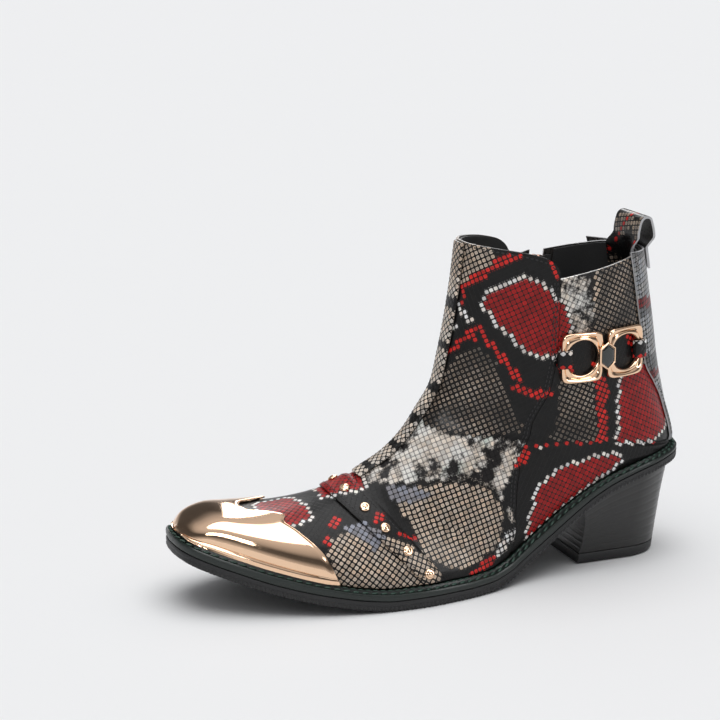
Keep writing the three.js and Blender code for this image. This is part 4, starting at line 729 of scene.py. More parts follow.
INNER_PATCHES = [
    [(1.5, .18), (1.0, .23), (.7, .28), (.6, .34), (.8, .425), (2.5, .43), (2.6, .38), (2.5, .32),
    (2.3, .27),
     (2.2, .22)],
    [(2.35, .03), (2.3, .13), (3.1, .11), (3.5, .03)],
    [(5.8, .43), (5.45, .43), (5.75, .54), (6.9, .74), (7.5, .82), (7.9, .80), (7.9, .72)],
    [(2.0, .55), (2.2, .59), (3.2, .605), (3.9, .60), (4.4, .58), (4.4, .54)],
    [(4.5, .65), (4.4, .70), (5.3, .84), (6.4, .97), (6.9, .96), (5.2, .66)],
    [(12.3, .06), (11.2, .06), (10.95, -.10), (11.05, -.24), (11.6, -.33), (12.2, -.30), (12.4, -.1)],
    [(10.1, .10), (8.5, .12), (8.3, -.05), (8.75, -.15), (9.5, -.13), (10.15, -.08)]]
INNER_LINES = [
    ([(.35, .21), (.8, .19)], 4.0), ([(.95, .15), (1.4, .06), (1.65, .12)], 2.4), ([(2.7, .22),
    (3.7, .15)], 3.8),
    ([(2.85, .31), (3.15, .34)], 4.2), ([(4.75, .06), (4.5, .16)], 4.0), ([(1.5, .50), (2.0, .46),
    (2.25, .45)], 3.6),
    ([(3.0, .465), (3.9, .455), (4.6, .44), (4.75, .38)], 2.8), ([(8.2, .79), (7.95, .83)], 2.4),
    ([(.85, .65), (1.35, .655), (1.85, .70)], 3.6), ([(2.2, .67), (2.8, .645), (3.7, .65), (4.0, .74)],
    2.8),
    ([(4.8, .53), (4.85, .59), (5.8, .68), (6.9, .88)], 2.6), ([(8.75, .90), (9.05, .97)], 4.0),
    ([(9.35, .37), (9.6, .40)], 3.0), ([(9.45, .53), (9.3, .56)], 3.0), ([(10.35, .29), (10.65, .37)],
    3.2)]
INNER_BEADS = [([(1.75, .02), (2.0, .03)], 2.0), ([(4.3, .50), (4.6, .50)], 2.0)]
INNER_TAN = [
    [(-.2, -.02), (-.1, .16), (1.1, .06), (1.2, -.02)],
    [(3.0, .25), (3.5, .33), (4.2, .375), (4.7, .36), (5.9, .45), (5.9, .32), (5.5, .24), (4.7, .19),
    (3.8, .18)],
    [(9.6, .92), (8.5, .72), (8.1, .75), (8.5, .88), (9.2, 1.0)], [(.45, .42), (.45, .5), (1.0, .5),
    (1.2, .42)],
    [(9.9, .45), (10.3, .41), (10.9, .48), (11.2, .6), (11.3, 1.0), (9.7, 1.0), (9.5, .8), (9.5, .62)],
    [(.3, .62), (.1, .80), (.75, .79), (.7, .62)], [(8.3, .35), (8.3, .62), (9.3, .80), (9.3, .5)]]
INNER_LATTICE = [
    [(3.2, .42), (3.8, .38), (4.5, .36), (4.3, .42)], [(2.8, .68), (3.0, .80), (3.8, .77), (3.6, .69)],
    [(5.4, .57), (6.0, .66), (6.9, .78), (7.4, .87), (6.6, .84), (5.5, .63)]]
INNER_MARBLE = [
    [(5.4, -.02), (5.6, .12), (5.9, .17), (6.0, .34), (6.6, .49), (7.9, .72), (8.2, .70), (8.5, .62),
    (9.0, .3),
     (8.6, -.02)]]
INNER_GREY = [[(10.4, .38), (9.85, .38), (9.75, .52), (10.2, .6)]]

RED_DEEP = (0.40, 0.008, 0.008)
RED_BEAD = (0.74, 0.022, 0.016)
WHITE_BEAD = (0.95, 0.89, 0.84)
TAN = (0.68, 0.545, 0.43)
CREAM = (0.80, 0.70, 0.60)
GREY_BLUE = (0.29, 0.29, 0.33)
CELL = 2.75  # side of one printed scale
LINE_SHARE = 0.66  # of the widths drawn above


def grown(mask):
    out = mask.copy()
    out[1:] |= mask[:-1]
    out[:-1] |= mask[1:]
    out[:, 1:] |= mask[:, :-1]
    out[:, :-1] |= mask[:, 1:]
    return out


def plain_cells(shape, tone, line, high):
    """Scales all alike: colour, line width, dark centre, marble share, rise, and whether lattice."""
    return (np.tile(np.array(tone), (*shape, 1)), np.full(shape, line), np.zeros(shape), np.zeros(shape),
            np.full(shape, high), np.zeros(shape, bool))


def print_cells(u, v):
    """The same for the boot's print, from each scale's place on the last."""
    shape = u.shape
    colour, cut, core, marble, rise, _ = plain_cells(shape, BLACK, 0.02, 0.02)
    outer = v >= 0
    t = np.abs(v)

    def either(test, outer_shapes, inner_shapes):
        return (outer & test(outer_shapes)) | (~outer & test(inner_shapes))

    def area(shapes):
        hit = np.zeros(shape, bool)
        for s in shapes:
            hit |= inside(s, u, t)
        return hit

    def lines(shapes):
        hit = np.zeros(shape, bool)
        for s, width in shapes:
            hit |= near_line(s, u, t, width * LINE_SHARE)
        return hit

    def paint(mask, tone, line, dark=0.0, high=0.1, share=0.0):
        colour[mask] = tone
        cut[mask], core[mask], rise[mask], marble[mask] = line, dark, high, share

    paint(either(area, OUTER_MARBLE, INNER_MARBLE), CREAM, 0.10, 0.0, 0.10, 1.0)
    paint(either(area, OUTER_TAN, INNER_TAN), TAN, 0.23, 0.35, 0.14)
    lattice = either(area, OUTER_LATTICE, INNER_LATTICE)
    paint(lattice, TAN, 0.38, 0.9, 0.14)
    paint(either(area, OUTER_GREY, INNER_GREY), GREY_BLUE, 0.08, 0.0, 0.12)
    paint(either(lines, OUTER_BEADS, INNER_BEADS), WHITE_BEAD, 0.20, 0.0, 0.16)
    paint(either(lines, OUTER_LINES, INNER_LINES), RED_BEAD, 0.17, 0.12, 0.16)
    patch = either(area, OUTER_PATCHES, INNER_PATCHES)
    ring = grown(patch) & ~patch & (t > 0.005)
    paint(ring, WHITE_BEAD, 0.18, 0.0, 0.18)
    paint(patch, RED_DEEP, 0.07, 0.28, 0.10)
    return colour, cut, core, marble, rise, lattice


def dress(obj, flat, uv_place, turned, seed, rise_scale=1.0, painter=print_cells, raw=0.0):
    """Lays printed scales on a shell: cells from flat millimetres, colours from uv_place."""
    n, m = flat.shape[:2]
    angle = math.radians(turned)
    a = flat[..., 0] * math.cos(angle) - flat[..., 1] * math.sin(angle)
    b = flat[..., 0] * math.sin(angle) + flat[..., 1] * math.cos(angle)
    p, q = a / CELL, b / CELL
    p, q = p - p.min() + 1.5, q - q.min() + 1.5
    i, j = np.floor(p).astype(int), np.floor(q).astype(int)
    size = (i.max() + 2, j.max() + 2)
    total = np.zeros(size)
    mean_u, mean_v = np.zeros(size), np.zeros(size)
    np.add.at(total, (i, j), 1)
    np.add.at(mean_u, (i, j), uv_place[0])
    np.add.at(mean_v, (i, j), uv_place[1])
    with np.errstate(invalid="ignore"):
        mean_u, mean_v = mean_u / total, mean_v / total
    mean_u[total == 0], mean_v[total == 0] = -9, 0
    colour, cut, core, marble, rise, lattice = painter(mean_u, mean_v)
    rng = np.random.default_rng(seed)
    tone = rng.uniform(0.72, 1.22, size)[..., None]
    warm = rng.uniform(-0.06, 0.06, size)[..., None] * np.array([1, 0.1, -0.9])
    wave = 0.5 + 0.5 * np.sin(mean_u * 2.9 + 3.0 * np.sin(mean_v * 9)) * np.cos(mean_v * 17 + mean_u * 0.9)
    fade = np.where(lattice, 0.22 + 0.78 * wave, 1.0)[..., None]
    colour = np.clip(colour * tone * fade * (1 + warm), 0, 1)
    core = core * rng.uniform(0.5, 1.0, size)
    picked = (i, j)
    x, y = 2 * (p - i) - 1, 2 * (q - j) - 1
    radius = (x ** 4 + y ** 4) ** 0.25
    dome = np.clip(1 - radius, 0, 1) ** 0.7 * rise[picked] * rise_scale
    mesh = obj.data
    count = n * m
    co = np.empty(len(mesh.vertices) * 3)
    mesh.vertices.foreach_get("co", co)
    co = co.reshape(-1, 3)
    outer, inner = co[:count].copy(), co[count:2 * count]
    direction = unit(outer - inner)
    edge = np.zeros((n, m), bool)
    edge[0], edge[-1], edge[:, 0], edge[:, -1] = True, True, True, True
    lift = np.where(edge, 0, dome).ravel()
    co[:count] = outer + direction * (lift * MM)[:, None]
    mesh.vertices.foreach_set("co", co.ravel())
    extra = len(mesh.vertices) - count

    def point_attribute(name, values):
        attribute = mesh.attributes.new(name, "FLOAT", "POINT")
        attribute.data.foreach_set("value", np.concatenate([values.ravel(), np.zeros(extra)]))

    rgba = np.ones((len(mesh.vertices), 4))
    rgba[:count, :3] = colour[picked].reshape(-1, 3)
    rgba[count:, :3] = (0.06, 0.055, 0.05)
    attribute = mesh.attributes.new("hide", "FLOAT_COLOR", "POINT")
    attribute.data.foreach_set("color", rgba.ravel())
    point_attribute("cut", cut[picked])
    point_attribute("core", core[picked])
    point_attribute("marble", marble[picked])
    layer = mesh.uv_layers.new(name="cells")
    corner = np.empty(len(mesh.loops), int)
    mesh.loops.foreach_get("vertex_index", corner)
    uv = np.concatenate([np.stack([p.ravel(), q.ravel()], -1)] * 2)
    uv = np.concatenate([uv, np.zeros((max(0, len(mesh.vertices) - len(uv)), 2))])
    layer.data.foreach_set("uv", uv[corner].ravel())
    rim = mesh.attributes.new("rim", "FLOAT", "FACE")
    values = np.zeros(len(mesh.polygons))
    values[len(values) - obj["rim_faces"]:] = raw
    rim.data.foreach_set("value", values)
    del obj["rim_faces"]
    mesh.update()
    return obj


def printed_panel(name, places, turned, seed, outer=0.0, inner=-LEATHER, painter=print_cells, raw=0.0):
    obj = panel(name, places, outer, inner, "snake_print_leather")
    return dress(obj, flatten(skin(*places, outer)), places, turned, seed, painter=painter, raw=raw)


def grid(rows, columns):
    return np.meshgrid(np.asarray(rows, float), np.asarray(columns, float), indexing="ij")


def rows_to(end, per_unit=30):
    return np.linspace(0.0, end, int(end * per_unit) + 1)


# ------------------------------------------------------------------ uppers


def front_places(side):
    down, share = grid(np.linspace(0, 1, 290), np.linspace(0, 1, 96))
    centre = float(shift_v(HEEL_ROW, 0.0, GAP / 2))
    u = down * 9
    for _ in range(6):
        v = lerp(centre, np.minimum(seam(u), FOOT_EDGE), share)
        u = lerp(front_top(v), shift_u(strap_rear(v), side * v, 2.5), down)
    return u, side * v


for side, name in ((1, "lateral_front_panel"), (-1, "medial_front_panel")):
    settle(printed_panel("skin_" + name, front_places(side), 45 + 4 * side, 11 + side),
           [name])


def vamp_places():
    down, v = grid(np.linspace(0, 1, 140), np.linspace(-FOOT_EDGE, FOOT_EDGE, 250))
    return lerp(shift_u(strap_rear(np.abs(v)), v, 2.5 + GAP), 14.9, down), v


settle(printed_panel("skin_vamp", vamp_places(), 45, 21), ["vamp"])


def lateral_quarter_places():
    rows, share = grid(rows_to(8.5), np.linspace(0, 1, 150))
    u = from_top(rows, quarter_top(lerp(seam(rows), 1, share)))
    return u, lerp(shift_v(u, seam(u), GAP), back_edge(1, u), share)


settle(printed_panel("skin_lateral_quarter", lateral_quarter_places(), 4, 31),
       ["lateral_quarter"])


def medial_front_quarter_places():
    rows, share = grid(rows_to(8.5), np.linspace(0, 1, 46))
    u = from_top(rows, quarter_top(lerp(seam(rows), zip_v(rows), share)))
    end = np.minimum(beside_zip(u, -ZIP_OPENING), FOOT_EDGE)
    return u, -lerp(-shift_v(u, -seam(u), -GAP), end, share)


settle(printed_panel("skin_medial_quarter_front", medial_front_quarter_places(), 2, 41, raw=1.0),
       ["medial_quarter_front"])


def medial_rear_places(edge, drop, columns, per_unit=30):
    rows, share = grid(rows_to(7.7, per_unit), np.linspace(0, 1, columns))
    at = lambda u: lerp(beside_zip(u, edge), back_edge(-1, u), share)
    u = from_top(rows, quarter_top(at(np.full_like(rows, 0.3))) + drop)
    return u, -at(u)


settle(printed_panel("skin_medial_quarter_rear", medial_rear_places(ZIP_OPENING, 0, 100), -3, 51, raw=1.0),
       ["medial_quarter_rear"])

# ------------------------------------------------------------------ linings

LINING_DROP = 0.04  # how far the linings stop below the leather, in rows of the last
FRONT_SHARE = 0.35  # of a lining's columns that lie in front of the side seam


def lining_places(side, end):
    rows, share = grid(rows_to(8.6, 8), np.linspace(0, 1, 60))
    centre = float(shift_v(HEEL_ROW, 0.0, GAP / 2))

    def at(u):
        middle = np.minimum(seam(u), end(u) - 0.03)
        front = lerp(centre, middle, share / FRONT_SHARE)
        rear = lerp(middle, end(u), (share - FRONT_SHARE) / (1 - FRONT_SHARE))
        return np.where(share < FRONT_SHARE, front, rear)

    level = at(np.full_like(rows, 0.3))
    top = np.where(share <= FRONT_SHARE, front_top(level), quarter_top(level)) + LINING_DROP
    u = from_top(rows, top)
    return u, side * at(u)


def lining(name, places, deep):
    u, v = places
    depth = -UNDERSIDE - np.where(deep(u, v), STIFFENER_ROOM, 0.0)
    obj = panel("soft_" + name, places, depth, depth - LINING, "black_lining_leather")
    del obj["rim_faces"]
    settle(obj, [name])


counter_zone = lambda u, v: (u >= 3) & (u <= 6) & (np.abs(v) > 0.66)
lining("lateral_lining", lining_places(1, lambda u: back_edge(1, u)), counter_zone)
lining("medial_lining_front",
       lining_places(-1, lambda u: np.minimum(beside_zip(u, -TAPE_REACH - 0.9), FOOT_EDGE)),
       lambda u, v: np.zeros(u.shape, bool))
lining("medial_lining_rear", medial_rear_places(TAPE_REACH + 0.9, LINING_DROP, 40, 8), counter_zone)
rows, v = grid(np.linspace(8.63, 15.1, 60), np.linspace(-FOOT_EDGE, FOOT_EDGE, 70))
lining("vamp_lining", (rows, v), lambda u, v: u >= 12)

# ------------------------------------------------------------------ strips and straps


def stay_painter(u, v):
    colour, cut, core, marble, rise, lattice = print_cells(u, v)
    pale = (u > 0.9) & (u < 8.5)
    colour[pale], cut[pale], core[pale], rise[pale] = CREAM, 0.16, 0.25, 0.14
    dark = pale & (np.sin(u * 5.0) > 0.75)
    colour[dark] = BLACK
    marble[pale] = 0
    return colour, cut, core, marble, rise, lattice


def rounded_depth(share, top, drop=0.55, edge=0.9):
    """Outer depth across a strip whose long edges are skived thinner."""
    side = np.minimum(share, 1 - share)
    return top - drop * (1 - ramp(side, 0, edge * 0.12))


def stay():
    rows, share = grid(rows_to(8.45), np.linspace(0, 1, 22))
    behind_strap = shift_u(strap_rear(0.0), 0.0, -GAP - 1) - np.linspace(0.2, 0, rows.shape[0])[:, None]
    u = np.minimum(from_top(rows, 0.05), behind_strap)
    v = shift_v(u, 0.0, lerp(-STAY_HALF_WIDTH, STAY_HALF_WIDTH, share))
    obj = panel("skin_front_stay", (u, v), rounded_depth(share, OVER_TOP), LAYER_GAP, "snake_print_leather")
    dress(obj, flatten(skin(u, v, 0)), (u, v), 45, 61, painter=stay_painter)
    settle(obj, ["front_stay"])


stay()


def strap():
    share, v = grid(np.linspace(0, 1, 18), np.linspace(-0.97, 0.97, 300))
    u = lerp(strap_rear(np.abs(v)), STRAP_FRONT, share)
    obj = panel("skin_vamp_strap", (u, v), rounded_depth(share, OVER_TOP, 0.5, 1.0), LAYER_GAP,
                "snake_print_leather")
    dress(obj, flatten(skin(u, v, 0)), (u, v), 45, 71)
    settle(obj, ["vamp_strap"])


strap()


stud_profile = [(0, 0), (0.85, 0), (1, 0.14), (1.0, 0.26), (0.93, 0.44), (0.80, 0.60), (0.66, 0.70),
                (0.60, 0.66),
                (0.52, 0.74), (0.36, 0.90), (0.18, 0.98), (0, 1)]
for index, v in enumerate([-p for p in reversed(STUD_PLACES)] + STUD_PLACES):
    u = float(lerp(strap_rear(abs(v)), STRAP_FRONT, 0.5))
    normal = outward(u, v)
    run = unit(along_v(u, v))
    profile = [(r * STUD_RADIUS, GAP * (h > 0) + h * STUD_HEIGHT) for r, h in stud_profile]
    points, faces = revolve(profile, 40, (skin(u, v, OVER_TOP - 0.15), run, np.cross(normal, run),
    normal))
    settle(make_object(f"rivet_{index + 1}", points, faces, "rose_gold_plate", 60),
           [f"strap_stud_{index + 1}"])


def back_strip_places():
    rows, share = grid(np.linspace(0.02, 4.97, 150), np.linspace(0, 1, 61))
    side = np.where(share < 0.5, -1.0, 1.0)
    return rows, side * (1 - strip_half(rows) * np.abs(2 * share - 1)), share


def back_strip():
    u, v, share = back_strip_places()
    middle = share.shape[1] // 2

    def layer(depth):
        points = skin(u, v, depth)
        points[:, middle] = sum(skin(u[:, middle], side, depth[:, middle]) for side in (1, -1)) / 2
        return points

    outer = layer(rounded_depth(share, OVER_TOP, 0.5, 0.5))
    under = layer(np.full_like(share, LAYER_GAP))
    obj = shell_object("grey_back_strip", outer, under, "snake_print_leather")
    dress(obj, flatten(outer), (u, v), 0, 81, 0.6, strip_painter, 1.0)
    settle(obj, ["back_strip"])


def strip_painter(u, v):
    cells = plain_cells(u.shape, (0.36, 0.362, 0.37), 0.08, 0.10)
    colour = cells[0]
    band = np.sin(u * 4.2 + 2 * np.abs(v)) > 0.55
    colour[band] = (0.16, 0.16, 0.165)
    red = (np.abs(u - 1.35) < 0.14) | (np.abs(u - 3.3) < 0.10)
    colour[red] = (0.22, 0.012, 0.014)
    spine = 1 - np.abs(v) < 0.06
    colour[spine] = (0.26, 0.26, 0.265)
    return cells


back_strip()


def beside_back(u, x, depth):
    side = np.where(x < 0, -1.0, 1.0)
    low, high = np.full(x.shape, 0.7), np.ones(x.shape)
    for _ in range(30):
        middle = (low + high) / 2
        wide = np.abs(skin(u, side * middle, depth)[..., 0]) > np.abs(x)
        low, high = np.where(wide, middle, low), np.where(wide, high, middle)
    return side * high


def spline(points, count):
    """Points evenly along a centripetal-like Catmull-Rom curve, with tangents."""
    p = np.array(points, float)
    p = np.vstack([2 * p[0] - p[1], p, 2 * p[-1] - p[-2]])
    out = []
    for i in range(1, len(p) - 2):
        t = np.linspace(0, 1, 24, endpoint=False)[:, None]
        a, b, c, d = p[i - 1], p[i], p[i + 1], p[i + 2]
        out.append(0.5 * (2 * b + (c - a) * t + (2 * a - 5 * b + 4 * c - d) * t ** 2
                          + (3 * b - a - 3 * c + d) * t ** 3))
    out = np.vstack(out + [p[-2][None]])
    length = np.concatenate([[0], np.cumsum(np.linalg.norm(np.diff(out, axis=0), axis=1))])
    at = np.linspace(0, length[-1], count)
    line = np.stack([np.interp(at, length, out[:, k]) for k in range(p.shape[1])], -1)
    return line, unit(np.gradient(line, axis=0))


def pull_loop():
    across = np.linspace(-LOOP_WIDTH / 2, LOOP_WIDTH / 2, 41)
    inside_depth = UNDERSIDE + LINING + LAYER_GAP + OVERLAY / 2
    outside_depth = OVER_TOP + LAYER_GAP + OVERLAY / 2
    collar = last(0.0, 1.0)
    cy, cz = collar[1], collar[2]
    top_z = cz + LOOP_RISE
    front_y, rear_y = cy - inside_depth, cy + outside_depth
    tail = lambda u, depth: skin(u, beside_back(u, across, depth), depth)
    curl = lambda depth: tail(0.0, depth)[len(across) // 2, 1] - tail(0.0, depth)[:, 1]
    path = [
        (front_y - 0.4, cz + 2.5), (front_y - 1.2, cz + 8), (front_y + 0.2, top_z - 3),
        (cy - 2.6, top_z - 0.6), (cy - 0.6, top_z), (cy + 1.4, top_z - 0.6),
        (rear_y - 0.6, top_z - 3), (rear_y + 1, cz + 8), (rear_y + 0.3, cz + 2.5)]
    line, tangent = spline(path, 70)
    share = np.linspace(0, 1, len(line))
    curl_in, curl_out = curl(-inside_depth), curl(outside_depth)

    def layer(offset):
        rows = [tail(u, -inside_depth - offset) for u in np.linspace(LOOP_TAIL_ROW, 0, 10)]
        for (y, z), (ty, tz), s in zip(line, tangent, share):
            fall = (1 - ramp(z, cz, cz + 7)) * lerp(curl_in, curl_out, s)
            rows.append(np.stack([across, y - tz * offset - fall, 0 * across + z + ty * offset], -1))
        rows += [tail(u, outside_depth + offset) for u in np.linspace(0, LOOP_TAIL_ROW, 10)]
        return np.array(rows)

    outer = layer(OVERLAY / 2)
    obj = shell_object("skin_pull_loop", outer, layer(-OVERLAY / 2), "snake_print_leather")
    flat = flatten(outer)
    dress(obj, flat, (flat[..., 1] / 10, flat[..., 0] / 10), 12, 91, 0.8, loop_painter, 1.0)
    settle(obj, ["pull_loop"])


def loop_painter(a, b):
    colour, cut, core, marble, rise, _ = plain_cells(a.shape, BLACK, 0.05, 0.04)
    pale = np.sin(a * 2.1 + 0.6) + 0.6 * np.sin(b * 3.2 + a) > 0.35
    colour[pale], cut[pale], core[pale], rise[pale] = TAN, 0.22, 0.6, 0.12
    red = np.abs(np.sin(a * 0.9 + b * 1.4)) < 0.12
    colour[red], cut[red], core[red], rise[red] = RED_BEAD, 0.16, 0.1, 0.12
    return colour, cut, core, marble, rise, pale


pull_loop()

# ------------------------------------------------------------------ toe cap


def toe_cap():
    rows, v = grid(np.concatenate([np.linspace(11, 15.6, 150), np.linspace(15.63, TOE_ROW, 24)]),
                   np.linspace(-FOOT_EDGE, FOOT_EDGE, 241))
    crowd = np.linspace(0, 0.12, rows.shape[0])[:, None]
    u = np.minimum(np.maximum(rows, cap_rear(np.abs(v)) + crowd), TOE_ROW)
    t = np.abs(v)
    flange = 0.55 * ramp(t, 0.90, 0.94) + 0.30 * ramp(t, 0.955, 0.985)
    groove = -0.45 * np.exp(-((t - 0.905) / 0.012) ** 2)
    rolled = -0.55 * (1 - ramp(rows - cap_rear(t), 0, 0.12))
    top = CAP_GAP + CAP_METAL + flange * ramp(u, 11.2, 12) + groove + rolled

    def layer(depth):
        points = skin(u, v, depth)
        points[-1] = skin(TOE_ROW, 0, np.mean(depth[-1]))
        return points

    under = layer(np.full_like(u, CAP_GAP))
    obj = shell_object("polished_toe_cap", layer(top), under, "rose_gold_plate", 50)
    del obj["rim_faces"]
    settle(obj, ["toe_cap"])


toe_cap()

# ------------------------------------------------------------------ sole

stations = np.concatenate([
    [0, 0.0015, 0.004, 0.008], np.linspace(0.014, 0.988, 560), [0.993, 0.9965, 0.999, 1]])
station_y = lambda s: lerp(TOE_TIP, HEEL_END, s)


def outline_point(side, s, reach):
    """A point of the feather outline in plan, moved out by reach along the outline's normal."""
    s = np.asarray(s, float)
    y = station_y(s)
    edge = 0.002
    before, after = station_y(np.maximum(s - edge, 0)), station_y(np.minimum(s + edge, 1))
    run = unit(np.stack([side * (half_width(side, after) - half_width(side, before)), after - before], -1))
    here = np.stack([side * half_width(side, y) + centre_line(y), y], -1)
    out = here + np.stack([side * run[:, 1], -side * run[:, 0]], -1) * np.asarray(reach)[..., None]
    for end, way in ((s <= 0, -1), (s >= 1, 1)):
        out[end] = np.stack([centre_line(y[end]), y[end] + way * np.broadcast_to(reach, s.shape)[end]], -1)
    return out


def inset_point(side, s, inset):
    y = station_y(s) + inset * (1 - ramp(s, 0, 0.12) - ramp(s, 0.88, 1))
    own = half_width(side, station_y(s))
    width = own - inset * ramp(own / (2 * WELT_LAND), 0, 1)
    return np.stack([side * np.maximum(width, 0) + centre_line(y), y], -1)


def around(place):
    """A closed plan loop: lateral side from toe to heel, then the medial side back."""
    lateral = place(1, stations)
    medial = place(-1, stations[::-1])
    return np.vstack([lateral[:-1], medial[:-1]])


def ring_levels(name, levels, material, smooth_angle):
    """Levels of equal closed loops stacked; the first and last are capped by a strip between the sides."""
    count = len(levels[0])
    points = np.vstack(levels)
    i = np.arange(count // 2 - 1)
    cap = np.stack([i, i + 1, count - 2 - i, count - 1 - i], -1)
    faces = np.vstack([bands(len(levels), count), cap[:, ::-1], cap + (len(levels) - 1) * count])
    return make_object(name, points, outward_facing(points, faces), material, smooth_angle)


def ring_tube(name, levels, material, smooth_angle):
    """Levels of equal closed loops stacked, the last joined to the first."""
    points = np.vstack(levels)
    faces = outward_facing(points, bands(len(levels), len(levels[0]), True))
    return make_object(name, points, faces, material, smooth_angle)


plan_loop = lambda reach: around(lambda side, s: outline_point(side, s, reach))


def outsole():
    base = plan_loop(WELT_REACH)
    step = np.linalg.norm(np.roll(base, -1, axis=0) - base, axis=1)
    run = np.cumsum(step)
    out = unit(base - plan_loop(WELT_REACH - 1))
    teeth = 0.5 + 0.5 * np.sign(np.sin(run * 2 * math.pi / 2.4))
    profile = [(-0.9, 0.0, 0), (-0.25, 0.0, 1), (0.0, 0.12, 1), (0.05, 0.35, 1), (-0.25, 0.50, 0),
               (0.0, 0.56, 0),
               (0.05, 0.80, 0), (-0.1, 0.95, 0), (-0.5, 1.0, 0)]
    levels = []
    for aside, height, toothed in profile:
        plan = base + out * (aside - 0.45 * toothed * teeth)[:, None]
        y = plan[:, 1]
        levels.append(np.column_stack([plan, tread(y) + height * outsole_thickness(y)]))
    obj = ring_levels("serrated_outsole", levels, "black_rubber", 30)
    settle(obj, ["outsole"])


outsole()


def welt():
    inner = around(lambda side, s: inset_point(side, s, WELT_LAND))
    under = lambda y: outsole_top(y) + GAP
    top = lambda y: feather(y) - GAP
    profile = [(4.6, 0.0), (5.0, 0.12), (5.05, 0.45), (4.9, 0.62), (4.55, 0.72), (3.3, 0.74), (2.2, 0.70),
               (1.7, 0.66), (1.35, 0.80), (0.95, 0.97), (0.4, 1.0), (-0.6, 1.0)]
    levels = [np.column_stack([inner, under(inner[:, 1])])]
    for reach, height in profile:
        plan = plan_loop(reach)
        y = plan[:, 1]
        levels.append(np.column_stack([plan, lerp(under(y), top(y), height)]))
    levels.append(np.column_stack([inner, top(inner[:, 1])]))
    settle(ring_tube("storm_welt", levels, "green_black_welt", 35), ["welt"])


welt()

# ------------------------------------------------------------------ stitches


def unit_stitch(count=8, rings=5):
    """A stitch's shape: long axis X from -1 to 1, radius 1."""
    heights = np.linspace(-1, 1, rings + 2)
    profile = [(max(0.0, 1 - abs(t) ** 2.6) ** 0.5, t) for t in heights]
    x, y, z = np.eye(3)
    return revolve(profile, count, (np.zeros(3), y, z, x))


UNIT_POINTS, UNIT_FACES = unit_stitch()


def stitches(name, lines, material, pitch=2.6, fill=0.72, wide=0.36, high=0.26, slant=0.0):
    """Rows of single stitches; each line is (points, normals) along the seam."""
    points, faces = [], []
    for line, normals in lines:
        length = np.concatenate([[0], np.cumsum(np.linalg.norm(np.diff(line, axis=0), axis=1))])
        count = max(int(length[-1] / pitch), 1)
        at = (np.arange(count) + 0.5) * length[-1] / count
        centre = np.stack([np.interp(at, length, line[:, k]) for k in range(3)], -1)
        ahead = np.stack([np.interp(at + pitch / 4, length, line[:, k]) for k in range(3)], -1)
        normal = unit(np.stack([np.interp(at, length, normals[:, k]) for k in range(3)], -1))
        run = unit(ahead - centre)
        side = unit(np.cross(normal, run))
        run = unit(run + side * slant)
        side = unit(np.cross(normal, run))
        for c, r, s, n in zip(centre, run, side, normal):
            base = len(points) * len(UNIT_POINTS)
            points.append(c + UNIT_POINTS[:, :1] * r * pitch * fill / 2 + UNIT_POINTS[:, 1:2] * s * wide
                          + UNIT_POINTS[:, 2:] * n * high)
            faces += [tuple(base + k for k in f) for f in UNIT_FACES]
    settle(make_object(name, np.vstack(points), faces, material, 80))


def skin_line(u, v, depth):
    return skin(u, v, depth), outward(u, v)


def welt_stitch_line(reach, height):
    loop = plan_loop(reach)
    y = loop[:, 1]
    under, top = outsole_top(y) + GAP, feather(y) - GAP
    line = np.column_stack([loop, lerp(under, top, height)])
    line = np.vstack([line, line[:1]])
    return line, np.tile(np.array([0.0, 0.0, 1.0]), (len(line), 1))


stitches("welt_top_lockstitch", [welt_stitch_line(3.0, 0.80)], "green_thread",
         5.2, 0.86, 0.75, 0.55, 0.35)
stitches("welt_edge_lockstitch", [welt_stitch_line(0.95, 1.0)], "green_thread",
         4.2, 0.8, 0.5, 0.3, 0.3)

seam_rows = np.linspace(0.75, 8.4, 220)
seam_lines = []
for side in (1, -1):
    for inset in (-1.6, -3.4):
        beside = shift_v(seam_rows, side * seam(seam_rows), side * inset)
        seam_lines.append(skin_line(seam_rows, beside, 0.16))
    if side > 0:
        v = np.linspace(-1, 1, 240) * 0.95
        for offset in (0.16, 0.84):
            seam_lines.append(skin_line(lerp(strap_rear(np.abs(v)), STRAP_FRONT, offset), v, OVER_TOP))
    rows = np.linspace(0.3, 8.3, 200)
    seam_lines.append(skin_line(rows, shift_v(rows, 0.0, side * (STAY_HALF_WIDTH - 1.4)), OVER_TOP - 0.05))
    strip_rows = np.linspace(0.2, 4.8, 160)
    seam_lines.append(skin_line(strip_rows, side * (1 - strip_half(strip_rows) * 0.90), OVER_TOP - 0.05))
    front_v = np.linspace(0.03, 0.42, 90)
    seam_lines.append(skin_line(front_top(front_v) + 0.12, side * front_v, 0.12))
lateral_v = np.linspace(0.47, 0.78, 70)
seam_lines.append(skin_line(quarter_top(lateral_v) + 0.10, lateral_v, 0.12))
zip_rows = np.linspace(1.0, 6.6, 180)
for way in (-1, 1):
    for aside in (ZIP_OPENING + 1.6, ZIP_OPENING + 3.6):
        seam_lines.append(skin_line(zip_rows, -beside_zip(zip_rows, way * aside), 0.12))
stitches("upper_seam_stitches", seam_lines, "black_thread")

# ------------------------------------------------------------------ heel

LIFT_SHARE = TOP_LIFT / (float(tread(HEEL_BACK_Y)) - GAP)
heel_stations = np.concatenate([
    np.linspace(0, 0.5, 18, endpoint=False), 0.5 + 0.5 * np.sin(np.linspace(0, math.pi / 2, 44))])


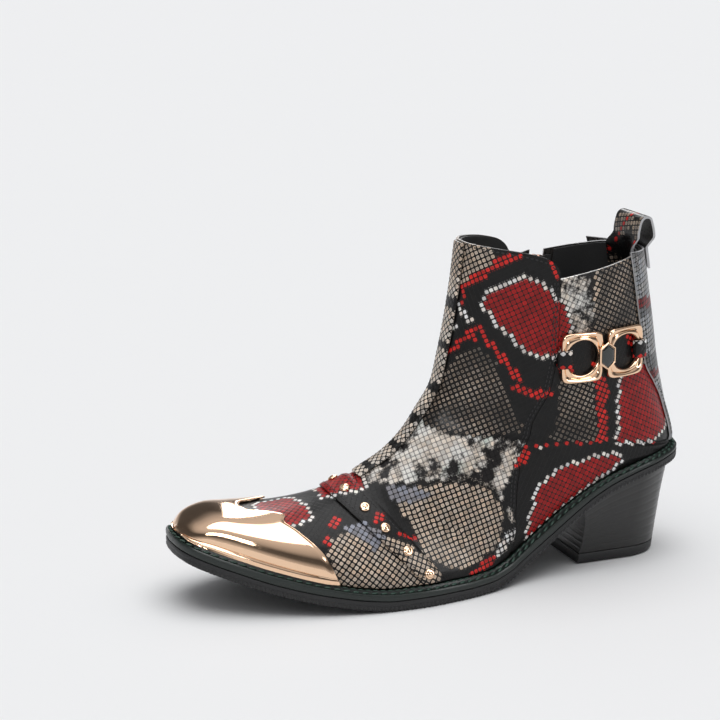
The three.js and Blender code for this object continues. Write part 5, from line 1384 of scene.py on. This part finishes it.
def heel_loop(share, height):
    rows = []
    for side in (1, -1):
        s = heel_stations
        back_top, breast_top = HEEL_END + WELT_REACH - 1.5, HEEL_BREAST_Y - 1.5
        waist = math.sin(math.pi * share) * 1.2
        y = lerp(lerp(HEEL_BREAST_Y, HEEL_BACK_Y, s), lerp(breast_top, back_top, s) - waist * s, share)
        curve = np.sqrt(np.maximum(0, 1 - np.maximum(0, (s - 0.52) / 0.48) ** 2.4))
        top_s = np.minimum((lerp(breast_top, back_top, s) - TOE_TIP) / (HEEL_END - TOE_TIP), 1)
        top_half = np.maximum(0, outline_point(side, top_s, 1.5)[:, 0] * side)
        half = np.where(s >= 1, 0, lerp(HEEL_HALF_WIDTH * curve, top_half, share ** 1.15))
        hollow = 2 * math.sin(math.pi * share) * np.maximum(0, 1 - s * 5)
        rows.append(np.column_stack([side * half, y + hollow]))
    loop = np.vstack([rows[0], rows[1][::-1][1:]])
    return np.column_stack([loop, height(loop[:, 1])])


def shrunk(loop, amount):
    centre = np.array([0, (HEEL_BREAST_Y + HEEL_BACK_Y) / 2, 0])
    flat = loop - centre
    flat[:, 2] = 0
    reach = np.linalg.norm(flat, axis=1, keepdims=True)
    return loop - flat / np.maximum(reach, 1e-9) * amount


def heel_block():
    bottom = TOP_LIFT + GAP
    last_level = 63
    levels = []
    for k in range(last_level + 1):
        share = k / last_level
        loop = heel_loop(lerp(LIFT_SHARE, 1, share), lambda y: lerp(bottom, tread(y) - GAP, share))
        if k in (0, last_level):
            loop = shrunk(loop, 0.35)
        elif k % 7 == 0:
            loop = shrunk(loop, 0.22)
        levels.append(loop)
    settle(ring_levels("stacked_heel", levels, "black_heel_stack", 40), ["heel_block"])


heel_block()


def top_lift():
    levels = []
    for height, inset in ((0, 1.0), (0.06, 0.35), (0.14, 0.0), (0.5, 0.0), (0.9, 0.0), (1.0, 0.3)):
        loop = heel_loop(LIFT_SHARE * height, lambda y: TOP_LIFT * height + 0 * y)
        levels.append(shrunk(loop, inset))
    obj = ring_levels("heel_rubber_tip", levels, "black_rubber", 40)
    settle(obj, ["heel_top_lift"])


top_lift()

# ------------------------------------------------------------------ side ornament

LINK_TOP = LINK_LIFT + LINK_THICKNESS


def rounded_outline(angle, width, height, power=5.0):
    c, s = np.cos(angle), np.sin(angle)
    r = (np.abs(c / (width / 2)) ** power + np.abs(s / (height / 2)) ** power) ** (-1 / power)
    return r * c, r * s


def link_plate(name, centre_y, replaced):
    angles = np.linspace(0, 2 * math.pi, 160, endpoint=False)
    oy, oz = rounded_outline(angles, LINK_WIDTH, LINK_HEIGHT, 7.0)
    hy, hz = LINK_HOLE * np.cos(angles), LINK_HOLE * np.sin(angles)
    # Across the plate from its outer edge to the hole: height above the plate's underside.
    profile = [(0.0, 0.0), (0.0, 0.62), (0.04, 0.85), (0.10, 0.97), (0.22, 1.0), (0.36, 0.93),
               (0.46, 0.74),
               (0.54, 0.60), (0.62, 0.74), (0.74, 0.90), (0.88, 0.92), (0.97, 0.80), (1.0, 0.55),
               (1.0, 0.0)]
    levels = []
    for share, height in profile:
        y = centre_y + lerp(oy, hy, share)
        z = ORNAMENT_Z + lerp(oz, hz, share)
        levels.append(side_point(1, y, z, LINK_LIFT + LINK_THICKNESS * height))
    settle(ring_tube(name, levels, "rose_gold_plate", 50), [replaced])


link_plate("horsebit_front_link", FRONT_LINK_Y, "ornament_front_link")
link_plate("horsebit_rear_link", FRONT_LINK_Y + LINK_SPACING, "ornament_rear_link")

HEX_Y = FRONT_LINK_Y + LINK_SPACING / 2
HEX_UNDER = LINK_TOP + GAP
HEX_TOP = HEX_UNDER + 1.9


def hexagon_loop(inset, count=16):
    w, h = 5 - inset, 8 - inset * 1.15
    corners = np.array([(0, h), (-w, 0.55 * h), (-w, -0.55 * h), (0, -h), (w, -0.55 * h), (w, 0.55 * h)])
    loop = []
    for k in range(6):
        a, b = corners[k], corners[(k + 1) % 6]
        loop += [lerp(a, b, t) for t in np.linspace(0, 1, count, endpoint=False)]
    return np.array(loop)


def hexagon(name, profile, material, replaced):
    levels = []
    for inset, height in profile:
        loop = hexagon_loop(inset)
        levels.append(side_point(1, HEX_Y + loop[:, 0], ORNAMENT_Z + loop[:, 1], height))
    count = len(levels[0])
    points = np.vstack([*levels, levels[0].mean(0)[None], levels[-1].mean(0)[None]])
    faces = bands(len(levels), count).tolist()
    low, high = len(points) - 2, len(points) - 1
    end = (len(levels) - 1) * count
    faces += [(low, (i + 1) % count, i) for i in range(count)]
    faces += [(high, end + i, end + (i + 1) % count) for i in range(count)]
    obj = make_object(name, points, [f[::-1] for f in faces], material, 25)
    settle(obj, [replaced])


hexagon("hexagon_setting", [(1.5, LINK_LIFT), (1.5, HEX_UNDER), (0.25, HEX_UNDER), (0.0, HEX_UNDER + 0.3),
                            (0.0, HEX_TOP - 0.35), (0.3, HEX_TOP), (0.8, HEX_TOP), (1.0, HEX_TOP - 0.35),
                            (1.05, HEX_TOP - 0.8)],
        "rose_gold_plate", "ornament_hexagon")
hexagon("hexagon_enamel", [(1.25, HEX_TOP - 0.75), (1.25, HEX_TOP - 0.25), (1.5, HEX_TOP - 0.12),
                           (2.6, HEX_TOP + 0.08), (3.6, HEX_TOP + 0.14)],
        "green_black_enamel", "ornament_enamel")


def tab_painter(u, _):
    """Black scales with a row of white ones along the top edge and red ones along the bottom."""
    cells = plain_cells(u.shape, BLACK, 0.2, 0.1)
    cells[0][(u > 2.6) & (u < 9)] = WHITE_BEAD
    cells[0][(u < -2.8) & (u > -9)] = RED_BEAD
    return cells


def strap_tab(name, link_y, way, seed, replaced):
    edge = LINK_WIDTH / 2
    inner = LINK_HOLE * 0.80
    roof = LINK_TOP + GAP + OVERLAY / 2
    foot = LAYER_GAP + OVERLAY / 2
    path = [(edge + 1.7, foot + 1.0), (edge + 0.8, roof - 0.5), (edge - 0.6, roof), (inner + 0.6, roof),
            (inner - 0.5, roof - 0.6), (inner - 0.9, foot + 1.0), (inner - 1.0, foot + 0.2)]
    line, tangent = spline(path, 90)
    across = np.linspace(-5, 5, 61)
    z = ORNAMENT_Z + across

    def layer(offset):
        rows = []
        for (y, depth), (ty, td) in zip(line, tangent):
            rows.append(side_point(1, link_y + way * (y - td * offset), z, max(depth + ty * offset, 0.15)))
        return np.array(rows)

    obj = shell_object(name, layer(-OVERLAY / 2), layer(OVERLAY / 2), "snake_print_leather", 50)
    steps = np.linalg.norm(np.diff(line, axis=0), axis=-1)
    along, over = grid(np.concatenate([[0], np.cumsum(steps)]), across)
    dress(obj, np.stack([along, over], -1), (over, along), 45, seed, painter=tab_painter)
    settle(obj, [replaced])


strap_tab("folded_front_tab", FRONT_LINK_Y, -1, 71, "front_strap_tab")
strap_tab("folded_rear_tab", FRONT_LINK_Y + LINK_SPACING, 1, 72, "rear_strap_tab")

# ------------------------------------------------------------------ zip

COIL_DEPTH = UNDERSIDE + TAPE / 2 + 0.7
zip_start = side_point(-1, *ZIP_TOP, -COIL_DEPTH)
zip_finish = side_point(-1, *ZIP_BOTTOM, -COIL_DEPTH)
ZIP_LENGTH = float(np.linalg.norm(zip_finish - zip_start))
zip_down = unit(zip_finish - zip_start)
zip_out = unit(np.array([-1.0, 0, 0]) + zip_down * zip_down[0])
zip_back = np.cross(zip_out, zip_down)
zip_back = zip_back * np.sign(zip_back[1])


def zip_point(aside, s, out):
    aside, s, out = (np.asarray(value, float)[..., None] for value in (aside, s, out))
    return zip_start + aside * zip_back + s * zip_down + out * zip_out


def zip_tape(name, way, replaced):
    def layer(out, depth):
        rows = []
        for s in np.linspace(0.5, ZIP_LENGTH - 0.5, 120):
            spine = zip_point(0, s, 0)
            start = COIL_SLOT / 2 + COIL_WIDTH + GAP
            middle = ZIP_OPENING - 0.2
            rim = side_point(-1, spine[1] + way * TAPE_REACH, spine[2], depth)
            near = side_point(-1, spine[1] + way * (ZIP_OPENING + 1.6), spine[2], depth)
            rows.append([zip_point(way * start, s, out), zip_point(way * middle, s, out), near, rim])
        return np.array(rows)

    outer, inner = layer(TAPE / 2, -UNDERSIDE), layer(-TAPE / 2, -UNDERSIDE - TAPE)
    obj = shell_object(name, outer, inner, "zip_tape_weave", 60)
    del obj["rim_faces"]
    settle(obj, [replaced])


zip_tape("woven_tape_front", -1, "zip_tape_front")
zip_tape("woven_tape_rear", 1, "zip_tape_rear")


def coil(name, way, replaced):
    """A nylon coil: loops whose heads meet those of the other side."""
    pitch, turn_points, ring = 1.3, 14, 7
    length = ZIP_LENGTH - 2 * 3.0 - 2 * GAP
    turns = int(length / pitch)
    t = np.linspace(0, turns, turns * turn_points + 1)
    angle = 2 * math.pi * t
    centre = COIL_SLOT / 2 + COIL_WIDTH / 2 - 0.1
    radius = COIL_WIDTH / 2 - 0.35
    thick = 0.34
    down = ZIP_LENGTH / 2 - length / 2 + length * t / turns + (0.25 if way > 0 else 0)
    line = zip_point(way * (centre + (radius + 0.25) * np.cos(angle)), down,
                     (COIL_THICKNESS / 2 - thick) * np.sin(angle))
    tangent = unit(np.gradient(line, axis=0))
    side = unit(np.cross(tangent, zip_down))
    third = np.cross(tangent, side)
    points = []
    for k in range(ring):
        a = 2 * math.pi * k / ring
        points.append(line + thick * (side * math.cos(a) + third * math.sin(a)))
    points = np.stack(points, 1).reshape(-1, 3)
    count = len(line)
    faces = bands(count, ring).tolist()
    faces.append(tuple(range(ring - 1, -1, -1)))
    faces.append(tuple((count - 1) * ring + k for k in range(ring)))
    settle(make_object(name, points, faces, "zip_coil_nylon", 60), [replaced])


coil("nylon_coil_front", -1, "zip_coil_front")
coil("nylon_coil_rear", 1, "zip_coil_rear")


def pressed(name, outlines, low, high, bevel, frame):
    """A flat part with rounded edges from closed outlines; the later outlines are holes."""
    curve = bpy.data.curves.new(name, "CURVE")
    curve.dimensions = "2D"
    curve.fill_mode = "BOTH"
    for outline in outlines:
        piece = curve.splines.new("POLY")
        piece.points.add(len(outline) - 1)
        for k, (x, y) in enumerate(outline):
            piece.points[k].co = (x, y, 0, 1)
        piece.use_cyclic_u = True
    curve.extrude = (high - low) / 2 - bevel
    curve.bevel_depth = bevel
    curve.bevel_resolution = 3
    curve.offset = -bevel
    holder = bpy.data.objects.new(name + "_curve", curve)
    bpy.context.scene.collection.objects.link(holder)
    dg = bpy.context.evaluated_depsgraph_get()
    mesh = bpy.data.meshes.new_from_object(holder.evaluated_get(dg))
    bpy.data.objects.remove(holder)
    points = np.array([tuple(v.co) for v in mesh.vertices])
    points[:, 2] += (low + high) / 2
    faces = [tuple(p.vertices) for p in mesh.polygons]
    bpy.data.meshes.remove(mesh)
    origin, x, y, z = frame
    placed = origin + points[:, :1] * x + points[:, 1:2] * y + points[:, 2:] * z
    return placed, faces


def joined(name, parts, material, angle=40.0):
    points, faces = [], []
    for p, f in parts:
        base = sum(len(q) for q in points)
        points.append(p)
        faces += [tuple(base + k for k in face) for face in f]
    obj = make_object(name, np.vstack(points), faces, material, angle)
    bm = bmesh.new()
    bm.from_mesh(obj.data)
    bmesh.ops.remove_doubles(bm, verts=bm.verts, dist=1e-6)
    bmesh.ops.recalc_face_normals(bm, faces=bm.faces)
    bm.to_mesh(obj.data)
    bm.free()
    obj.data.shade_smooth()
    obj.data.set_sharp_from_angle(angle=math.radians(angle))
    return obj


def curved(corners, steps=6, round_share=0.35):
    """A polygon whose corners are rounded by quadratic arcs."""
    corners = np.array(corners, float)
    out = []
    for k in range(len(corners)):
        before, here, after = corners[k - 1], corners[k], corners[(k + 1) % len(corners)]
        a, b = lerp(here, before, round_share), lerp(here, after, round_share)
        for t in np.linspace(0, 1, steps):
            out.append((1 - t) ** 2 * a + 2 * t * (1 - t) * here + t * t * b)
    return out


SLIDER_LENGTH, SLIDER_WIDTH, SLIDER_PLATE, SLIDER_REST = 11.0, 7.6, 1.1, 4.2
PIN_AT = -SLIDER_LENGTH / 2 + 3.4
PLATE_TOP = COIL_THICKNESS / 2 + GAP + SLIDER_PLATE
PIN_HEIGHT = PLATE_TOP + 2.4
SLIDER_CENTRE = SLIDER_REST + SLIDER_LENGTH / 2
slider_frame = (zip_point(0, SLIDER_CENTRE, 0), zip_back, zip_down, zip_out)


def bar(radius, x0, x1, y, z, count=20):
    """A round bar along the frame's first axis."""
    origin, fx, fy, fz = slider_frame
    angles = np.linspace(0, 2 * math.pi, count, endpoint=False)
    points = []
    profile = [(x0, 0.001), (x0, radius * 0.85), (x0 + 0.12, radius), (x1 - 0.12, radius),
               (x1, radius * 0.85), (x1, 0.001)]
    for x, r in profile:
        points += [origin + x * fx + (y + r * math.cos(a)) * fy + (z + r * math.sin(a)) * fz
                   for a in angles]
    return np.array(points), bands(len(profile), count).tolist()


def zip_slider():
    w, h = SLIDER_WIDTH / 2, SLIDER_LENGTH / 2
    outline = curved([(-w, -h), (w, -h), (w, 0.2 * h), (0.62 * w, h), (-0.62 * w, h), (-w, 0.2 * h)])
    top = PLATE_TOP - SLIDER_PLATE / 2
    parts = [pressed("plate", [outline], top - 0.55, top + 0.55, 0.3, slider_frame),
             pressed("plate", [outline], -top - 0.55, -top + 0.55, 0.3, slider_frame)]
    foot, crown = PLATE_TOP - 0.4, PLATE_TOP + 3.7
    ear = curved([(PIN_AT - 2.0, foot), (PIN_AT + 2.0, foot), (PIN_AT + 1.5, crown), (PIN_AT - 1.5, crown)],
                 8, 0.42)
    origin, fx, fy, fz = slider_frame
    for way in (-1, 1):
        middle = way * 2.25
        parts.append(pressed("ear", [ear], -0.45, 0.45, 0.2, (origin + fx * middle, fy, fz, fx)))
    parts.append(bar(0.8, -2.5, 2.5, PIN_AT, PIN_HEIGHT))
    post = [(-0.35, -h + 0.1), (0.35, -h + 0.1), (0.35, -h + 3), (-0.35, -h + 3)]
    parts.append(pressed("post", [post], -top, top, 0.05, slider_frame))
    settle(joined("slider_body", parts, "copper_zip_metal"), ["zip_slider"], "zip_slider")


zip_slider()


def zip_pull():
    w, end, shoulder = 2.8, 22.0, 3.0
    right = [(1.4, 1.6), (1.4, shoulder), (w, shoulder + 1), (w, 9), (0.72 * w, 12), (0.72 * w, 16),
             (w * 1.08, end - 3), (w * 0.8, end)]
    corners = right + [(-x, y) for x, y in reversed(right)]
    window = [(-1.2, 4.6), (-1.2, 8.2), (1.2, 8.2), (1.2, 4.6)]
    origin, fx, fy, fz = slider_frame
    pin = origin + fy * PIN_AT + fz * PIN_HEIGHT
    plate = pressed("pull", [curved(corners), curved(window, 5, 0.3)], -0.6, 0.6, 0.28, (pin, fx, fy, fz))
    ring_points = []
    turn = np.linspace(0, 2 * math.pi, 36, endpoint=False)
    profile = [(1.12, -1.25), (1.9, -1.25), (2.1, -1.05), (2.1, 1.05), (1.9, 1.25), (1.12, 1.25)]
    for r, x in profile:
        ring_points += [pin + fx * x + fy * r * math.cos(a) + fz * r * math.sin(a) for a in turn]
    faces = bands(len(profile), len(turn), True).tolist()
    obj = joined("pull_tab_plate", [plate, (np.array(ring_points), faces)], "copper_zip_metal")
    settle(obj, ["zip_pull_tab"], "pull_tab")


zip_pull()

# ------------------------------------------------------------------ plain CAD pieces

for name, material in {
        "heel_screw": "shank_steel", "insole_board": "fibre_board", "sock_liner": "black_lining_leather",
        "forefoot_filler": "cork_filler", "shank": "shank_steel", "toe_puff": "stiffener_board",
        "heel_counter_lateral": "stiffener_board", "heel_counter_medial": "stiffener_board",
        "zip_top_stop_front": "copper_zip_metal", "zip_top_stop_rear": "copper_zip_metal",
        "zip_bottom_stop": "copper_zip_metal"}.items():
    for slot in frame["nodes"][name].material_slots:
        slot.material = MATERIALS[material]

# ------------------------------------------------------------------ studio

CAMERA_AZIMUTH, CAMERA_ELEVATION = math.radians(68.702), math.radians(14.558)
CAMERA_DISTANCE = 1.0514
CAMERA_LENS = 95.957
target = np.array([0.0, -40.722, 127.583]) + SHIFT
back = np.array([math.sin(CAMERA_AZIMUTH) * math.cos(CAMERA_ELEVATION),
                 -math.cos(CAMERA_AZIMUTH) * math.cos(CAMERA_ELEVATION), math.sin(CAMERA_ELEVATION)])
camera_data = bpy.data.cameras.new("camera")
camera_data.lens = CAMERA_LENS
camera_data.sensor_width = 36
camera = bpy.data.objects.new("camera", camera_data)
bpy.context.scene.collection.objects.link(camera)
camera.location = Vector(target * MM + back * CAMERA_DISTANCE)
camera.rotation_mode = "QUATERNION"
camera.rotation_quaternion = Vector(-back).to_track_quat("-Z", "Y")
bpy.context.scene.camera = camera


def studio():
    """Pale paper to the horizon, a broad soft sun, a sky with a dark band, and three lamps for the gloss."""
    size, below = 60.0, -0.0004
    mesh = bpy.data.meshes.new("studio_floor")
    corners = [(-size, -size, below), (size, -size, below), (size, size, below), (-size, size, below)]
    mesh.from_pydata(corners, [], [(0, 1, 2, 3)])
    floor = bpy.data.objects.new("studio_floor", mesh)
    bpy.context.scene.collection.objects.link(floor)
    paper = material_tree("studio_paper")
    paper.shade(Base_Color=(0.86, 0.865, 0.87), Roughness=0.8, Specular_IOR_Level=0.0)
    mesh.materials.append(MATERIALS["studio_paper"])
    world = bpy.context.scene.world or bpy.data.worlds.new("studio")
    bpy.context.scene.world = world
    sky = Tree(world, "Background")
    split = sky.node("ShaderNodeSeparateXYZ")
    sky.links.new(sky.node("ShaderNodeTexCoord").outputs["Generated"], split.inputs[0])
    shades = sky.node("ShaderNodeValToRGB")
    sky.links.new(sky.calc("MULTIPLY_ADD", split.outputs["Z"], 0.5, 0.5), shades.inputs[0])
    stops = shades.color_ramp.elements
    stops[0].position, stops[0].color = 0.50, (0.85, 0.86, 0.88, 1)
    stops[1].position, stops[1].color = 1.0, (0.95, 0.96, 0.98, 1)
    for place, grey in ((0.56, 0.55), (0.62, 0.14), (0.72, 0.10), (0.80, 0.62), (0.90, 0.95)):
        stop = stops.new(place)
        stop.color = (grey, grey, grey * 1.02, 1)
    sky.shade(Color=shades.outputs[0], Strength=0.66)
    sun = bpy.data.lights.new("soft_sun", "SUN")
    sun.energy = 1.75
    sun.angle = math.radians(55)
    lamp = bpy.data.objects.new("soft_sun", sun)
    lamp.rotation_mode = "QUATERNION"
    lamp.rotation_quaternion = Vector((-0.05, -0.02, -0.95)).to_track_quat("-Z", "Y")
    bpy.context.scene.collection.objects.link(lamp)
    for name, place, aim, size_xy, power in (
            ("key", (1.1, -0.9, 0.8), (0, -0.05, 0.09), (0.9, 0.35), 9),
            ("side", (1.2, 0.9, 0.7), (0, 0.05, 0.09), (0.3, 0.9), 6),
            ("rim", (-1.3, 0.5, 0.8), (0, 0, 0.1), (0.4, 0.9), 7)):
        light = bpy.data.lights.new(name, "AREA")
        light.shape = "RECTANGLE"
        light.size, light.size_y = size_xy
        light.energy = power
        lamp = bpy.data.objects.new(name, light)
        lamp.location = place
        lamp.rotation_mode = "QUATERNION"
        lamp.rotation_quaternion = (Vector(aim) - Vector(place)).to_track_quat("-Z", "Y")
        lamp.visible_diffuse = False
        bpy.context.scene.collection.objects.link(lamp)
    bpy.context.scene.view_settings.view_transform = "Standard"


studio()
